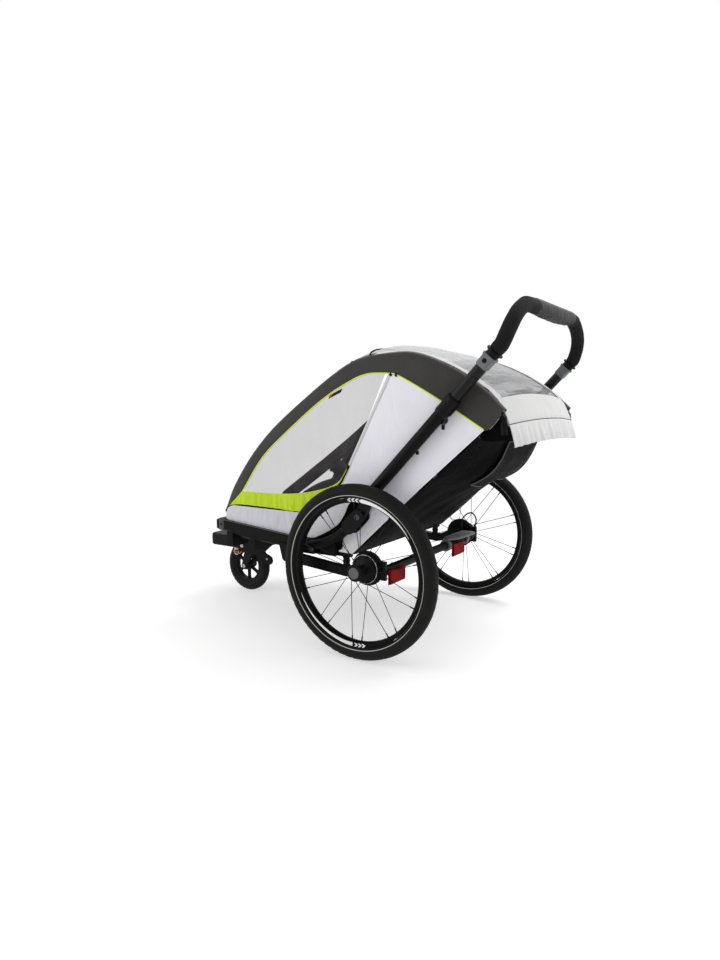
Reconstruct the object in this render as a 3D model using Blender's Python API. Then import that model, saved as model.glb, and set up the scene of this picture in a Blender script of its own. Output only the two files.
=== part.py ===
"""Two-seat child bike trailer in its stroller form.

Metres, +Z up. The pieces are placed in trailer coordinates: x runs from the front (-) to the
push handle (+) with 0 over the main axle, y from the left side (-) to the right side (+), and
z is the height above the ground. At the end the whole trailer is slid along x, so that its
origin lies under the middle of its footprint.
"""

import math

import bmesh
import bpy
from mathutils import Matrix, Vector

# Clearances
GAP = 0.0005
PLAY = 0.0005
SEAM = 0.0012
CLOTH = 0.003

# Main wheels
WHEEL_RADIUS = 0.250
TRACK_WIDTH = 0.752
TYRE_WIDTH = 0.047
TYRE_HEIGHT = 0.0385
RIM_DEPTH = 0.0145
RIM_WIDTH = 0.025
SPOKE_PAIRS = 10
SPOKE_SPACING = 0.028
SPOKE_RADIUS = 0.0011
WHEEL_STEPS = 40
AXLE_RADIUS = 0.006
HUB_RADIUS = 0.016
OUTER_FLANGE_RADIUS = 0.025
INNER_FLANGE_RADIUS = 0.0375
DRUM_RADIUS = 0.046
HUB_OUTER = 0.017
HUB_INNER = 0.0475
CAP_RADIUS = 0.0165
CAP_DEPTH = 0.0145
CAP_PLAY = 0.0042

# Caster wheel and its folding arm
CASTER_RADIUS = 0.098
CASTER_WIDTH = 0.036
CASTER_TYRE_HEIGHT = 0.036
CASTER_SPOKES = 6
CASTER_X = -0.742
CASTER_TRAIL = 0.041
CASTER_AXLE_RADIUS = 0.005
FORK_WALL = 0.0065
FORK_CROWN = 0.005
STEM_RADIUS = 0.011
ARM_FRONT_X = -0.748
ARM_REAR_X = -0.600
ARM_HALF_WIDTH = 0.1995
ARM_DEPTH = 0.0415
ARM_CORNER = 0.020
ARM_PIVOT_X = -0.585
ARM_PIVOT_Z = 0.228
LOCK_PIN_RADIUS = 0.003

# Floor frame
RAIL_Y = 0.302
RAIL_WIDTH = 0.030
RAIL_BOTTOM = 0.268
RAIL_TOP = 0.310
RAIL_FRONT_X = -0.600
RAIL_REAR_X = -0.115
BEAM_SIZE = 0.025
FRONT_BEAM_X = -0.545
BRACKET_BEAM_X = -0.450
REAR_BEAM_X = -0.145
BRACKET_WALL = 0.008
PAN_WALL = 0.003
PAN_HALF_WIDTH = 0.281
SEAT_FRONT_X = -0.305
SEAT_SHELF_Z = 0.430
SHELF_REAR_X = -0.030
SEAT_DEPTH = 0.265
SEAT_PAD = 0.040
SEAT_CROWN = 0.018
BACK_FOOT_X = -0.020
BACK_LENGTH = 0.345
BACK_PAD = 0.032
BACK_CROWN = 0.014
BUCKLE_SIZE = (0.016, 0.044, 0.044)
BUCKLE_X = 0.060
BUCKLE_LIFT = 0.070
BUCKLE_BUTTON_RADIUS = 0.0085

# Rear suspension
SWING_PIVOT_X = -0.300
SWING_PIVOT_Z = 0.246
SWING_ARM_WALL = 0.024
SWING_PIN_RADIUS = 0.006
CROSS_BAR_RADIUS = 0.013
CROSS_BAR_X = 0.045
CROSS_BAR_Z = 0.245
BUFFER_X = -0.090
BUFFER_Y = 0.2945
BUFFER_RADIUS = 0.012
BRAKE_PLATE_RADIUS = 0.050
BRAKE_PLATE_WALL = 0.011
REFLECTOR_SIZE = (0.009, 0.090, 0.044)
REFLECTOR_TOP = 0.250
REFLECTOR_Y = {"left": 0.265, "right": 0.158}
PEDAL_LEFT = 0.094
PEDAL_RIGHT = 0.266
CABLE_RADIUS = 0.0025

# Push frame and handle
PUSH_Y = 0.328
POST_RADIUS = 0.014
PUSH_PIVOT_X = -0.020
PUSH_PIVOT_Z = 0.400
TUBE_FOOT_X = 0.000
TUBE_FOOT_Z = 0.450
TUBE_ANGLE = math.radians(46.7)
MAIN_TUBE_RADIUS = 0.0175
MAIN_TUBE_LENGTH = 0.385
INNER_TUBE_RADIUS = 0.015
TUBE_WALL = 0.0016
INNER_TUBE_START = 0.150
CLAMP_START = 0.494
CLAMP_LENGTH = 0.038
COLLAR_BELOW_END = 0.052
COLLAR_LENGTH = 0.058
COLLAR_RADIUS = 0.0240
HANDLE_TUBE_RADIUS = 0.0125
FERRULE_LENGTH = 0.016
FOAM_RADIUS = 0.020
FOAM_ROOM = 0.0024
CROSSBAR_X = 0.409
CROSSBAR_Z = 0.976
HANDLE_BEND = (
    (0.3890, 0.3220, 0.866),
    (0.3970, 0.3160, 0.888),
    (0.4030, 0.3050, 0.911),
    (0.4065, 0.2870, 0.933),
    (0.4080, 0.2620, 0.952),
    (CROSSBAR_X, 0.2320, 0.966),
    (CROSSBAR_X, 0.1950, 0.974),
    (CROSSBAR_X, 0.0, CROSSBAR_Z),
)

# Canopy
CANOPY_PIVOT_X = -0.556
CANOPY_PIVOT_Z = 0.336
HOOP_Y = 0.289
HOOP_RADIUS = 0.0095
BOW_RADIUS = 0.008
BAND_ROOM = 0.002
ROOF_ROOM = 0.002
ROOF_BORDER = 0.026
FRONT_BOW_X = -0.145
REAR_BOW_X = 0.316
ROLL_RADIUS = 0.007
SKIRT_INNER_Y = 0.3045
SKIRT_TOP = 0.388
SKIRT_FRONT_X = -0.578

# Side outlines in x and z: the outer edge of the hoop band, the piping, the coloured strip,
# the front edge of the rear panel and its rear edge.
HOOP_EDGE = (
    (-0.5625, 0.389),
    (-0.530, 0.453),
    (-0.459, 0.549),
    (-0.364, 0.643),
    (-0.225, 0.745),
    (-0.121, 0.812),
    (-0.040, 0.847),
    (0.060, 0.859),
    (0.142, 0.854),
    (0.245, 0.814),
    (0.330, 0.760),
    (0.391, 0.706),
)
HOOP_TAIL = ((0.398, 0.686), (0.403, 0.662), (0.403, 0.640))
BAND_END = ((0.3885, 0.693), (0.368, 0.668), (0.350, 0.650))
PIPING_FRONT = (
    (-0.490, 0.435),
    (-0.401, 0.551),
    (-0.290, 0.643),
    (-0.166, 0.732),
    (-0.065, 0.785),
    (-0.010, 0.802),
    (0.047, 0.803),
)
PIPING_REAR = ((0.047, 0.803), (0.091, 0.794), (0.213, 0.729), (0.338, 0.654))
STRIP_TOP = ((-0.490, 0.435), (-0.296, 0.441), (-0.181, 0.461), (-0.112, 0.489), (-0.073, 0.542))
REAR_EDGE = ((0.338, 0.654), (0.107, 0.445), (-0.066, 0.281))
PANEL_FOOT = ((-0.112, 0.281), (-0.112, 0.3125), (-0.240, 0.3125), (-0.297, 0.390))
STRIP_BOTTOM = ((-0.297, 0.390), (-0.440, 0.392), (-0.552, 0.388))
ROOF_RIDGE = (
    (-0.150, 0.866),
    (-0.115, 0.883),
    (-0.078, 0.894),
    (-0.023, 0.898),
    (0.030, 0.893),
    (0.099, 0.877),
    (0.200, 0.840),
    (0.330, 0.775),
)
FLAP_DROP = ((0.334, 0.772), (0.368, 0.733), (0.390, 0.690), (0.404, 0.650), (0.414, 0.614))
BACK_LINE = ((-0.066, 0.281), (0.020, 0.356), (0.107, 0.440), (0.220, 0.543), (0.320, 0.632), (0.376, 0.660))

SIDES = (("left", -1), ("right", 1))

# Places worked out from the sizes
BAND_INNER_Y = HOOP_Y - HOOP_RADIUS
BAND_OUTER_Y = HOOP_Y + HOOP_RADIUS + CLOTH + BAND_ROOM
ROOF_HALF_WIDTH = BAND_INNER_Y - ROOF_ROOM
COLLAR_START = MAIN_TUBE_LENGTH - COLLAR_BELOW_END
RIM_OUTER = WHEEL_RADIUS - TYRE_HEIGHT - GAP
RIM_HOLE = RIM_OUTER - RIM_DEPTH
WHEEL_Y = TRACK_WIDTH / 2
SWIVEL_X = CASTER_X + CASTER_TRAIL
FORK_INNER_Y = CASTER_WIDTH / 2 + 0.004
CROWN_Z = 2 * CASTER_RADIUS + 0.012
ARM_BOTTOM = CROWN_Z + FORK_CROWN + 0.001
ARM_TOP = ARM_BOTTOM + ARM_DEPTH
RAIL_INNER = RAIL_Y - RAIL_WIDTH / 2
RAIL_OUTER = RAIL_Y + RAIL_WIDTH / 2
FLOOR_LEVEL = RAIL_BOTTOM + 0.0055
TUBE_DIRECTION = Vector((math.cos(TUBE_ANGLE), 0.0, math.sin(TUBE_ANGLE)))
TUBE_ACROSS = Vector((math.sin(TUBE_ANGLE), 0.0, -math.cos(TUBE_ANGLE)))
COVER_LEVEL = RAIL_TOP + 0.0005
LOCK_X = ARM_REAR_X - 0.034
LOCK_Y = -ARM_HALF_WIDTH + 0.014
TONGUE_HALF = 0.0105
JAW_HALF = 0.0175
CLAMP_HALF = 0.0205
CATCH_RADIUS = 0.006
BORE_RADIUS = INNER_TUBE_RADIUS + PLAY
KNUCKLE_INNER = BAND_OUTER_Y + 0.0015
SHELF_HALF_WIDTH = 0.252
BOLSTER_INNER = 0.2575
SEAT_PLACE_Y = 0.130
ROLL_END_Y = HOOP_Y - HOOP_RADIUS - 0.002
FLAP_HALF_WIDTH = 0.272
BACK_HALF_WIDTH = BAND_OUTER_Y - CLOTH - 0.004
BACK_LEAN = math.radians(47.0)
BUFFER_SEAT = 0.2420
BUTTON_Z = SEAT_SHELF_Z + BUCKLE_LIFT + 0.024


def vec(x, y, z):
    return Vector((x, y, z))


# Looks

LOOKS = {
    "black_paint": ((0.012, 0.012, 0.013), 0.35, 0.6),
    "black_plastic": ((0.015, 0.015, 0.016), 0.55, 0.0),
    "rubber": ((0.018, 0.018, 0.019), 0.8, 0.0),
    "foam": ((0.022, 0.021, 0.021), 0.9, 0.0),
    "grey_plastic": ((0.13, 0.14, 0.16), 0.5, 0.0),
    "hub_grey": ((0.10, 0.10, 0.105), 0.45, 0.0),
    "steel": ((0.55, 0.55, 0.56), 0.3, 1.0),
    "black_fabric": ((0.014, 0.014, 0.015), 0.9, 0.0),
    "band_fabric": ((0.060, 0.057, 0.053), 0.85, 0.0),
    "white_fabric": ((0.70, 0.69, 0.74), 0.8, 0.0),
    "clear_sheet": ((0.62, 0.63, 0.65), 0.15, 0.0),
    "red_lens": ((0.60, 0.02, 0.015), 0.2, 0.0),
    "seat_fabric": ((0.030, 0.030, 0.032), 0.9, 0.0),
    "mesh": ((0.05, 0.05, 0.052), 0.85, 0.0),
}


def make_look(name):
    colour, roughness, metallic = LOOKS[name]
    look = bpy.data.materials.new(name)
    look.use_nodes = True
    shader = look.node_tree.nodes["Principled BSDF"]
    shader.inputs["Base Color"].default_value = (*colour, 1.0)
    shader.inputs["Roughness"].default_value = roughness
    shader.inputs["Metallic"].default_value = metallic
    look.diffuse_color = (*colour, 1.0)
    return look


# Objects and pivots


def clear_scene():
    for obj in list(bpy.data.objects):
        bpy.data.objects.remove(obj, do_unlink=True)


def pivot(name, point, parent):
    """Empty on a joint's axis; parent is the pivot that carries it."""
    empty = bpy.data.objects.new(name, None)
    empty.empty_display_size = 0.03
    bpy.context.scene.collection.objects.link(empty)
    empty["at"] = tuple(point)
    if parent is not None:
        empty.parent = parent
        empty.location = Vector(point) - Vector(parent["at"])
    return empty


def mesh_object(name, bm, carrier, local):
    bmesh.ops.recalc_face_normals(bm, faces=bm.faces)
    mesh = bpy.data.meshes.new(name)
    bm.to_mesh(mesh)
    bm.free()
    obj = bpy.data.objects.new(name, mesh)
    bpy.context.scene.collection.objects.link(obj)
    obj.parent = carrier
    if not local:
        obj.location = -Vector(carrier["at"])
    return obj


def piece(name, bm, carrier, look, local=False, sharp=38.0):
    """A visible piece. Its mesh is in trailer coordinates, or, if local, about its pivot."""
    obj = mesh_object(name, bm, carrier, local)
    obj.data.materials.append(LOOK[look])
    obj.data.shade_smooth()
    obj.data.set_sharp_from_angle(angle=math.radians(sharp))
    return obj


def change(obj, operation, bm, local=False):
    """Join a shape to a piece or cut it away, with a hidden helper."""
    tool = mesh_object(f"{obj.name}_tool", bm, obj.parent, local)
    tool.hide_render = True
    tool.display_type = "WIRE"
    step = obj.modifiers.new(operation.lower(), "BOOLEAN")
    step.operation = operation
    step.solver = "EXACT"
    step.object = tool


def fuse(obj, *shapes, local=False):
    for bm in shapes:
        change(obj, "UNION", bm, local)


def drill(obj, *shapes, local=False):
    for bm in shapes:
        change(obj, "DIFFERENCE", bm, local)


def soften(obj, width, segments=2, angle=35.0):
    step = obj.modifiers.new("soft_edges", "BEVEL")
    step.width = width
    step.segments = segments
    step.limit_method = "ANGLE"
    step.angle_limit = math.radians(angle)


# Shapes


def skin(bm, rings, closed_along=False, caps=True):
    """Faces between rings of equally many vertices, with the ends capped."""
    count = len(rings)
    for i in range(count if closed_along else count - 1):
        here, there = rings[i], rings[(i + 1) % count]
        for j in range(len(here)):
            k = (j + 1) % len(here)
            bm.faces.new((here[j], here[k], there[k], there[j]))
    if caps and not closed_along:
        bm.faces.new(rings[0])
        bm.faces.new(rings[-1])


def turned(profile, steps, side=1, closed=False):
    """Solid turned about Y from (radius, distance) points. Its flats face up, down and along X."""
    bm = bmesh.new()
    reach = 1 / math.cos(math.pi / steps)
    angles = [(k + 0.5) * math.tau / steps for k in range(steps)]
    rings = []
    for radius, distance in profile:
        rings.append(
            [
                bm.verts.new(
                    (radius * reach * math.cos(a), side * distance, radius * reach * math.sin(a))
                )
                for a in angles
            ]
        )
    skin(bm, rings, closed_along=closed)
    return bm


def sweep(path, radius, sides=10):
    """Round bar along a path, with ends square to it. radius is one value or one for each point."""
    bm = bmesh.new()
    radii = radius if isinstance(radius, (list, tuple)) else [radius] * len(path)
    rings = []
    before = None
    across = None
    for i, point in enumerate(path):
        ahead = (path[min(i + 1, len(path) - 1)] - path[max(i - 1, 0)]).normalized()
        if across is None:
            across = ahead.orthogonal().normalized()
        else:
            across = before.rotation_difference(ahead) @ across
        before = ahead
        up = ahead.cross(across)
        rings.append(
            [
                bm.verts.new(
                    point
                    + radii[i] * math.cos(k * math.tau / sides) * across
                    + radii[i] * math.sin(k * math.tau / sides) * up
                )
                for k in range(sides)
            ]
        )
    skin(bm, rings)
    return bm


def bar(start, end, radius, sides=12):
    return sweep([Vector(start), Vector(end)], radius, sides)


def cross_pin(x, z, side, inner, outer, radius, sides=12):
    """Pin along Y on one side of the trailer."""
    return bar((x, side * inner, z), (x, side * outer, z), radius, sides)


def pipe(start, end, outer, inner, sides=16):
    """Open tube between two points."""
    bm = bmesh.new()
    start, end = Vector(start), Vector(end)
    ahead = (end - start).normalized()
    across = ahead.orthogonal().normalized()
    up = ahead.cross(across)
    rings = []
    for point, radius in ((start, outer), (end, outer), (end, inner), (start, inner)):
        rings.append(
            [
                bm.verts.new(
                    point
                    + radius * math.cos(k * math.tau / sides) * across
                    + radius * math.sin(k * math.tau / sides) * up
                )
                for k in range(sides)
            ]
        )
    skin(bm, rings, closed_along=True)
    return bm


def slab(corners, depth):
    """Flat outline pushed along depth."""
    bm = bmesh.new()
    near = [bm.verts.new(Vector(corner)) for corner in corners]
    far = [bm.verts.new(Vector(corner) + Vector(depth)) for corner in corners]
    skin(bm, [near, far])
    return bm


def plate(outline, side, inner, outer):
    """Upright plate on one side of the trailer, from an outline in x and z."""
    corners = [(x, side * inner, z) for x, z in outline]
    return slab(corners, (0, side * (outer - inner), 0))


def block(low, high):
    corners = [(low[0], low[1], low[2]), (high[0], low[1], low[2])]
    corners += [(high[0], high[1], low[2]), (low[0], high[1], low[2])]
    return slab(corners, (0, 0, high[2] - low[2]))


def side_block(side, x, y, z):
    """Block from its x, y and z ranges, with y counted outwards from the middle."""
    ends = sorted((side * y[0], side * y[1]))
    return block((x[0], ends[0], z[0]), (x[1], ends[1], z[1]))


def arc(centre, radius, start, end, steps):
    return [
        (
            centre[0] + radius * math.cos(math.radians(start + (end - start) * k / steps)),
            centre[1] + radius * math.sin(math.radians(start + (end - start) * k / steps)),
        )
        for k in range(steps + 1)
    ]


def link(a, a_radius, b, b_radius, steps=6):
    """Outline of a link with round ends of unlike radius."""
    length = math.dist(a, b)
    lie = math.degrees(math.atan2(b[1] - a[1], b[0] - a[0]))
    open_by = math.degrees(math.acos((a_radius - b_radius) / length))
    far = arc(b, b_radius, lie - open_by, lie + open_by, steps)
    near = arc(a, a_radius, lie + open_by, lie + 360 - open_by, steps)
    return far + near


def smooth(points, per_span):
    """Smooth curve through points of any dimension, with per_span steps between each two."""
    vectors = [Vector(p) for p in points]
    first = 2 * vectors[0] - vectors[1]
    last = 2 * vectors[-1] - vectors[-2]
    padded = [first, *vectors, last]
    curve = []
    for i in range(1, len(padded) - 2):
        a, b, c, d = padded[i - 1 : i + 3]
        for k in range(per_span):
            t = k / per_span
            curve.append(
                0.5
                * (
                    2 * b
                    + (c - a) * t
                    + (2 * a - 5 * b + 4 * c - d) * t**2
                    + (3 * b - 3 * c + d - a) * t**3
                )
            )
    curve.append(vectors[-1])
    return curve


def moved_in(line, distance):
    """Line moved to its right, as seen going along it in x and z."""
    result = []
    for i, point in enumerate(line):
        ahead = (line[min(i + 1, len(line) - 1)] - line[max(i - 1, 0)]).normalized()
        result.append(point + distance * Vector((ahead[1], -ahead[0])))
    return result


def shrunk(outline, distance):
    """Closed clockwise outline with every edge moved in by distance."""
    result = []
    count = len(outline)
    for i in range(count):
        before = (outline[i] - outline[i - 1]).normalized()
        after = (outline[(i + 1) % count] - outline[i]).normalized()
        inward = Vector((before[1] + after[1], -before[0] - after[0]))
        inward.normalize()
        spread = max(0.35, inward.dot(Vector((before[1], -before[0]))))
        result.append(outline[i] + inward * distance / spread)
    return result


def height_at(line, x):
    """Height of a line that runs towards +x, at x."""
    for a, b in zip(line, line[1:]):
        if a[0] <= x <= b[0] and b[0] > a[0]:
            return a[1] + (b[1] - a[1]) * (x - a[0]) / (b[0] - a[0])
    return line[0][1] if x < line[0][0] else line[-1][1]


def sheet(surface, across, along, thickness, keep=None):
    """Closed cloth or film over a grid; surface(a, b) gives a point. keep picks the cells."""
    bm = bmesh.new()
    grid = [[bm.verts.new(surface(a, b)) for a in across] for b in along]
    for i in range(len(along) - 1):
        for j in range(len(across) - 1):
            if keep is None or keep(j, i):
                corners = (grid[i][j], grid[i][j + 1], grid[i + 1][j + 1], grid[i + 1][j])
                bm.faces.new(corners)
    loose = [v for v in bm.verts if not v.link_faces]
    bmesh.ops.delete(bm, geom=loose, context="VERTS")
    bmesh.ops.recalc_face_normals(bm, faces=bm.faces)
    bmesh.ops.solidify(bm, geom=list(bm.faces), thickness=thickness)
    return bm


def spread(low, high, count):
    return [low + (high - low) * k / count for k in range(count + 1)]


def cushion(origin, across, along, out, half_width, length, thickness, crown, seams, steps):
    """Padded pad: its face is crowned between sewn lines, and its sides pull in between corners."""
    bm = bmesh.new()
    columns, rows = steps

    def point(u, v, level):
        pull = 1 - 0.035 * math.sin(math.pi * v) ** 2
        tuck = 1 - 0.02 * math.sin(math.pi * (u + 1) / 2) ** 2
        edge = (1 - abs(u) ** 6) * (1 - abs(2 * v - 1) ** 6)
        lift = thickness * 0.25 + (crown + thickness * 0.75) * edge
        for place, groove in seams:
            lift -= crown * 0.8 * math.exp(-(((u - place) / 0.07) ** 2)) * groove * edge
        height = lift if level else 0.0
        run = 0.5 * length + (v - 0.5) * length * tuck
        return origin + across * (u * half_width * pull) + along * run + out * height

    us = spread(-1.0, 1.0, columns)
    vs = spread(0.0, 1.0, rows)
    top = [[bm.verts.new(point(u, v, 1)) for u in us] for v in vs]
    base = [[bm.verts.new(point(u, v, 0)) for u in us] for v in vs]
    for i in range(rows):
        for j in range(columns):
            bm.faces.new((top[i][j], top[i][j + 1], top[i + 1][j + 1], top[i + 1][j]))
            bm.faces.new((base[i][j], base[i + 1][j], base[i + 1][j + 1], base[i][j + 1]))
    for j in range(columns):
        bm.faces.new((base[0][j], base[0][j + 1], top[0][j + 1], top[0][j]))
        bm.faces.new((base[rows][j + 1], base[rows][j], top[rows][j], top[rows][j + 1]))
    for i in range(rows):
        bm.faces.new((base[i + 1][0], base[i][0], top[i][0], top[i + 1][0]))
        bm.faces.new((base[i][columns], base[i + 1][columns], top[i + 1][columns], top[i][columns]))
    return bm


def along_tube(distance, side, off=0.0, y=PUSH_Y):
    """Point on a push tube's axis, or off it towards the rear and down."""
    foot = vec(TUBE_FOOT_X, side * y, TUBE_FOOT_Z)
    return foot + distance * TUBE_DIRECTION + off * TUBE_ACROSS


# Main wheels


def make_wheel(name, side, carrier):
    half = TYRE_WIDTH / 2
    bead = WHEEL_RADIUS - TYRE_HEIGHT
    section = (
        (bead, 0.42 * RIM_WIDTH),
        (bead + 0.38 * TYRE_HEIGHT, half),
        (bead + 0.78 * TYRE_HEIGHT, 0.78 * half),
        (WHEEL_RADIUS, 0.26 * half),
    )
    tyre = list(section) + [(r, -w) for r, w in reversed(section)]
    piece(f"tyre_{name}", turned(tyre, WHEEL_STEPS, side, closed=True), carrier, "rubber", local=True)
    edge = RIM_WIDTH / 2
    rim = [(RIM_OUTER, edge), (RIM_OUTER, -edge), (RIM_HOLE + 0.004, -edge)]
    rim += [(RIM_HOLE, -0.4 * edge), (RIM_HOLE, 0.4 * edge), (RIM_HOLE + 0.004, edge)]
    piece(f"rim_{name}", turned(rim, WHEEL_STEPS, side, closed=True), carrier, "black_paint", local=True)
    make_hub(name, side, carrier)


def make_hub(name, side, carrier):
    """Hub shell with its plug-in axle, brake drum, flanges and spokes."""
    tip = HUB_INNER + 0.047
    well = HUB_OUTER - CAP_DEPTH
    profile = (
        (0.002, -tip),
        (AXLE_RADIUS, -tip + 0.002),
        (AXLE_RADIUS, -HUB_INNER),
        (DRUM_RADIUS, -HUB_INNER),
        (DRUM_RADIUS, -HUB_INNER + 0.0065),
        (INNER_FLANGE_RADIUS, -HUB_INNER + 0.0065),
        (INNER_FLANGE_RADIUS, -HUB_INNER + 0.010),
        (HUB_RADIUS, -HUB_INNER + 0.016),
        (HUB_RADIUS, HUB_OUTER - 0.012),
        (OUTER_FLANGE_RADIUS - 0.002, HUB_OUTER - 0.009),
        (OUTER_FLANGE_RADIUS, HUB_OUTER - 0.002),
        (OUTER_FLANGE_RADIUS - 0.0025, HUB_OUTER),
        (CAP_RADIUS + PLAY, HUB_OUTER),
        (CAP_RADIUS + PLAY, well),
    )
    hub = piece(f"hub_{name}", turned(profile, 18, side), carrier, "black_plastic", local=True)
    end = RIM_HOLE - GAP
    spokes = bmesh.new()
    for k in range(SPOKE_PAIRS):
        middle = (k + 0.5) * math.tau / SPOKE_PAIRS
        for turn, root, offset, lift in (
            (-1, OUTER_FLANGE_RADIUS - 0.004, HUB_OUTER - 0.006, 0.003),
            (1, INNER_FLANGE_RADIUS - 0.0035, -HUB_INNER + 0.0082, -0.003),
        ):
            near = middle + turn * math.asin(min(0.95, SPOKE_SPACING / 2 / root))
            far = middle + turn * math.asin(SPOKE_SPACING / 2 / end)
            start = vec(root * math.cos(near), side * offset, root * math.sin(near))
            stop = vec(end * math.cos(far), side * lift, end * math.sin(far))
            add_spoke(spokes, start, stop)
    fuse(hub, spokes, local=True)
    seat = well + CAP_PLAY
    cap = ((0.0012, seat), (CAP_RADIUS, seat))
    cap += ((CAP_RADIUS, HUB_OUTER + 0.0015), (CAP_RADIUS - 0.003, HUB_OUTER + 0.003))
    cap += ((0.0012, HUB_OUTER + 0.003),)
    button = turned(cap, 18, side)
    piece(f"release_button_{name}", button, RELEASE_PIVOT[name], "hub_grey", local=True)


def add_spoke(bm, start, stop, sides=3):
    ahead = (stop - start).normalized()
    across = ahead.orthogonal().normalized()
    up = ahead.cross(across)
    rings = []
    for point in (start, stop):
        ring = []
        for k in range(sides):
            turn = k * math.tau / sides
            off = math.cos(turn) * across + math.sin(turn) * up
            ring.append(bm.verts.new(point + SPOKE_RADIUS * off))
        rings.append(ring)
    skin(bm, rings)


# Front arm and caster


def make_caster():
    rim_radius = CASTER_RADIUS - CASTER_TYRE_HEIGHT
    half = CASTER_WIDTH / 2
    section = (
        (rim_radius, 0.7 * half),
        (rim_radius + 0.3 * CASTER_TYRE_HEIGHT, half),
        (rim_radius + 0.75 * CASTER_TYRE_HEIGHT, 0.85 * half),
        (CASTER_RADIUS, 0.35 * half),
    )
    tyre = list(section) + [(r, -w) for r, w in reversed(section)]
    piece("caster_tyre", turned(tyre, 24, closed=True), CASTER_AXIS, "rubber", local=True)
    outer = rim_radius - GAP
    inner = outer - 0.008
    ring = [(outer, 0.6 * half), (outer, -0.6 * half), (inner, -0.45 * half), (inner, 0.45 * half)]
    rim = piece("caster_rim", turned(ring, 24, closed=True), CASTER_AXIS, "black_plastic", local=True)
    hub_half = FORK_INNER_Y - 0.0012
    centre = [(0.016, hub_half), (0.016, -hub_half)]
    centre += [(CASTER_AXLE_RADIUS + PLAY, -hub_half), (CASTER_AXLE_RADIUS + PLAY, hub_half)]
    spokes = [turned(centre, 16, closed=True)]
    for k in range(CASTER_SPOKES):
        turn = Matrix.Rotation((k + 0.5) * math.tau / CASTER_SPOKES, 4, "Y")
        spoke = block((0.013, -0.007, -0.0055), (inner + 0.003, 0.007, 0.0055))
        spoke.transform(turn)
        spokes.append(spoke)
    fuse(rim, *spokes, local=True)


def make_fork():
    """Fork with its stem, crown, two legs and the axle that the caster turns on."""
    outer = FORK_INNER_Y + FORK_WALL
    crown = block((SWIVEL_X - 0.024, -outer, CROWN_Z), (SWIVEL_X + 0.020, outer, CROWN_Z + FORK_CROWN))
    fork = piece("caster_fork", crown, SWIVEL, "black_plastic")
    hub = (CASTER_X, CASTER_RADIUS)
    for _, side in SIDES:
        leg = [(SWIVEL_X - 0.024, CROWN_Z + 0.003), (SWIVEL_X + 0.020, CROWN_Z + 0.003)]
        leg += [(SWIVEL_X + 0.020, CROWN_Z - 0.028)]
        leg += arc(hub, 0.014, 20, -180, 6)
        fuse(fork, plate(leg, side, FORK_INNER_Y, outer))
    pin = bar((hub[0], -outer + 0.001, hub[1]), (hub[0], outer - 0.001, hub[1]), CASTER_AXLE_RADIUS)
    stem_top = ARM_TOP - 0.006
    stem = bar((SWIVEL_X, 0, CROWN_Z + 0.001), (SWIVEL_X, 0, stem_top), STEM_RADIUS, 16)
    fuse(fork, pin, stem)


def make_front_arm():
    """Cross housing of the front wheel with two lugs on the folding axis."""
    inner = ARM_HALF_WIDTH - ARM_CORNER
    front = ARM_FRONT_X + ARM_CORNER
    outline = [(ARM_REAR_X, -ARM_HALF_WIDTH), (ARM_REAR_X, ARM_HALF_WIDTH)]
    outline += arc((front, inner), ARM_CORNER, 90, 180, 6)
    outline += arc((front, -inner), ARM_CORNER, 180, 270, 6)
    corners = [(x, y, ARM_BOTTOM) for x, y in outline]
    arm = piece("front_arm", slab(corners, (0, 0, ARM_DEPTH)), ARM_AXIS, "black_plastic")
    soften(arm, 0.004, 1)
    axis = (ARM_PIVOT_X, ARM_PIVOT_Z)
    for _, side in SIDES:
        lug = plate(link(axis, 0.017, (ARM_REAR_X - 0.015, ARM_BOTTOM + 0.021), 0.019), side,
                    ARM_HALF_WIDTH - 0.016, ARM_HALF_WIDTH - 0.0003)
        fuse(arm, lug)
    for _, side in SIDES:
        drill(arm, cross_pin(*axis, side, ARM_HALF_WIDTH - 0.03, ARM_HALF_WIDTH + 0.01, 0.005 + PLAY))
    bore = bar((SWIVEL_X, 0, ARM_BOTTOM - 0.01), (SWIVEL_X, 0, ARM_TOP - 0.005), STEM_RADIUS + PLAY, 16)
    hole = bar((LOCK_X, LOCK_Y, ARM_BOTTOM - 0.01), (LOCK_X, LOCK_Y, ARM_TOP - 0.006),
               LOCK_PIN_RADIUS + PLAY, 12)
    drill(arm, bore, hole)


def make_lock_pin():
    """Pull pin under the left end of the arm, with its knob and ring."""
    top = ARM_TOP - 0.012
    knob = ARM_BOTTOM - GAP
    pin = piece("lock_pin", bar((LOCK_X, LOCK_Y, knob - 0.004), (LOCK_X, LOCK_Y, top), LOCK_PIN_RADIUS),
                LOCK_AXIS, "steel")
    grip = bar((LOCK_X, LOCK_Y, knob - 0.009), (LOCK_X, LOCK_Y, knob), 0.007)
    centre = vec(LOCK_X, LOCK_Y, knob - 0.017)
    loop = [centre + vec(0.010 * math.cos(a), 0.0, 0.010 * math.sin(a))
            for a in spread(math.radians(-265), math.radians(85), 14)]
    fuse(pin, grip, sweep(loop, 0.0012, 6))


# Floor frame and what stands on it


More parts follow.
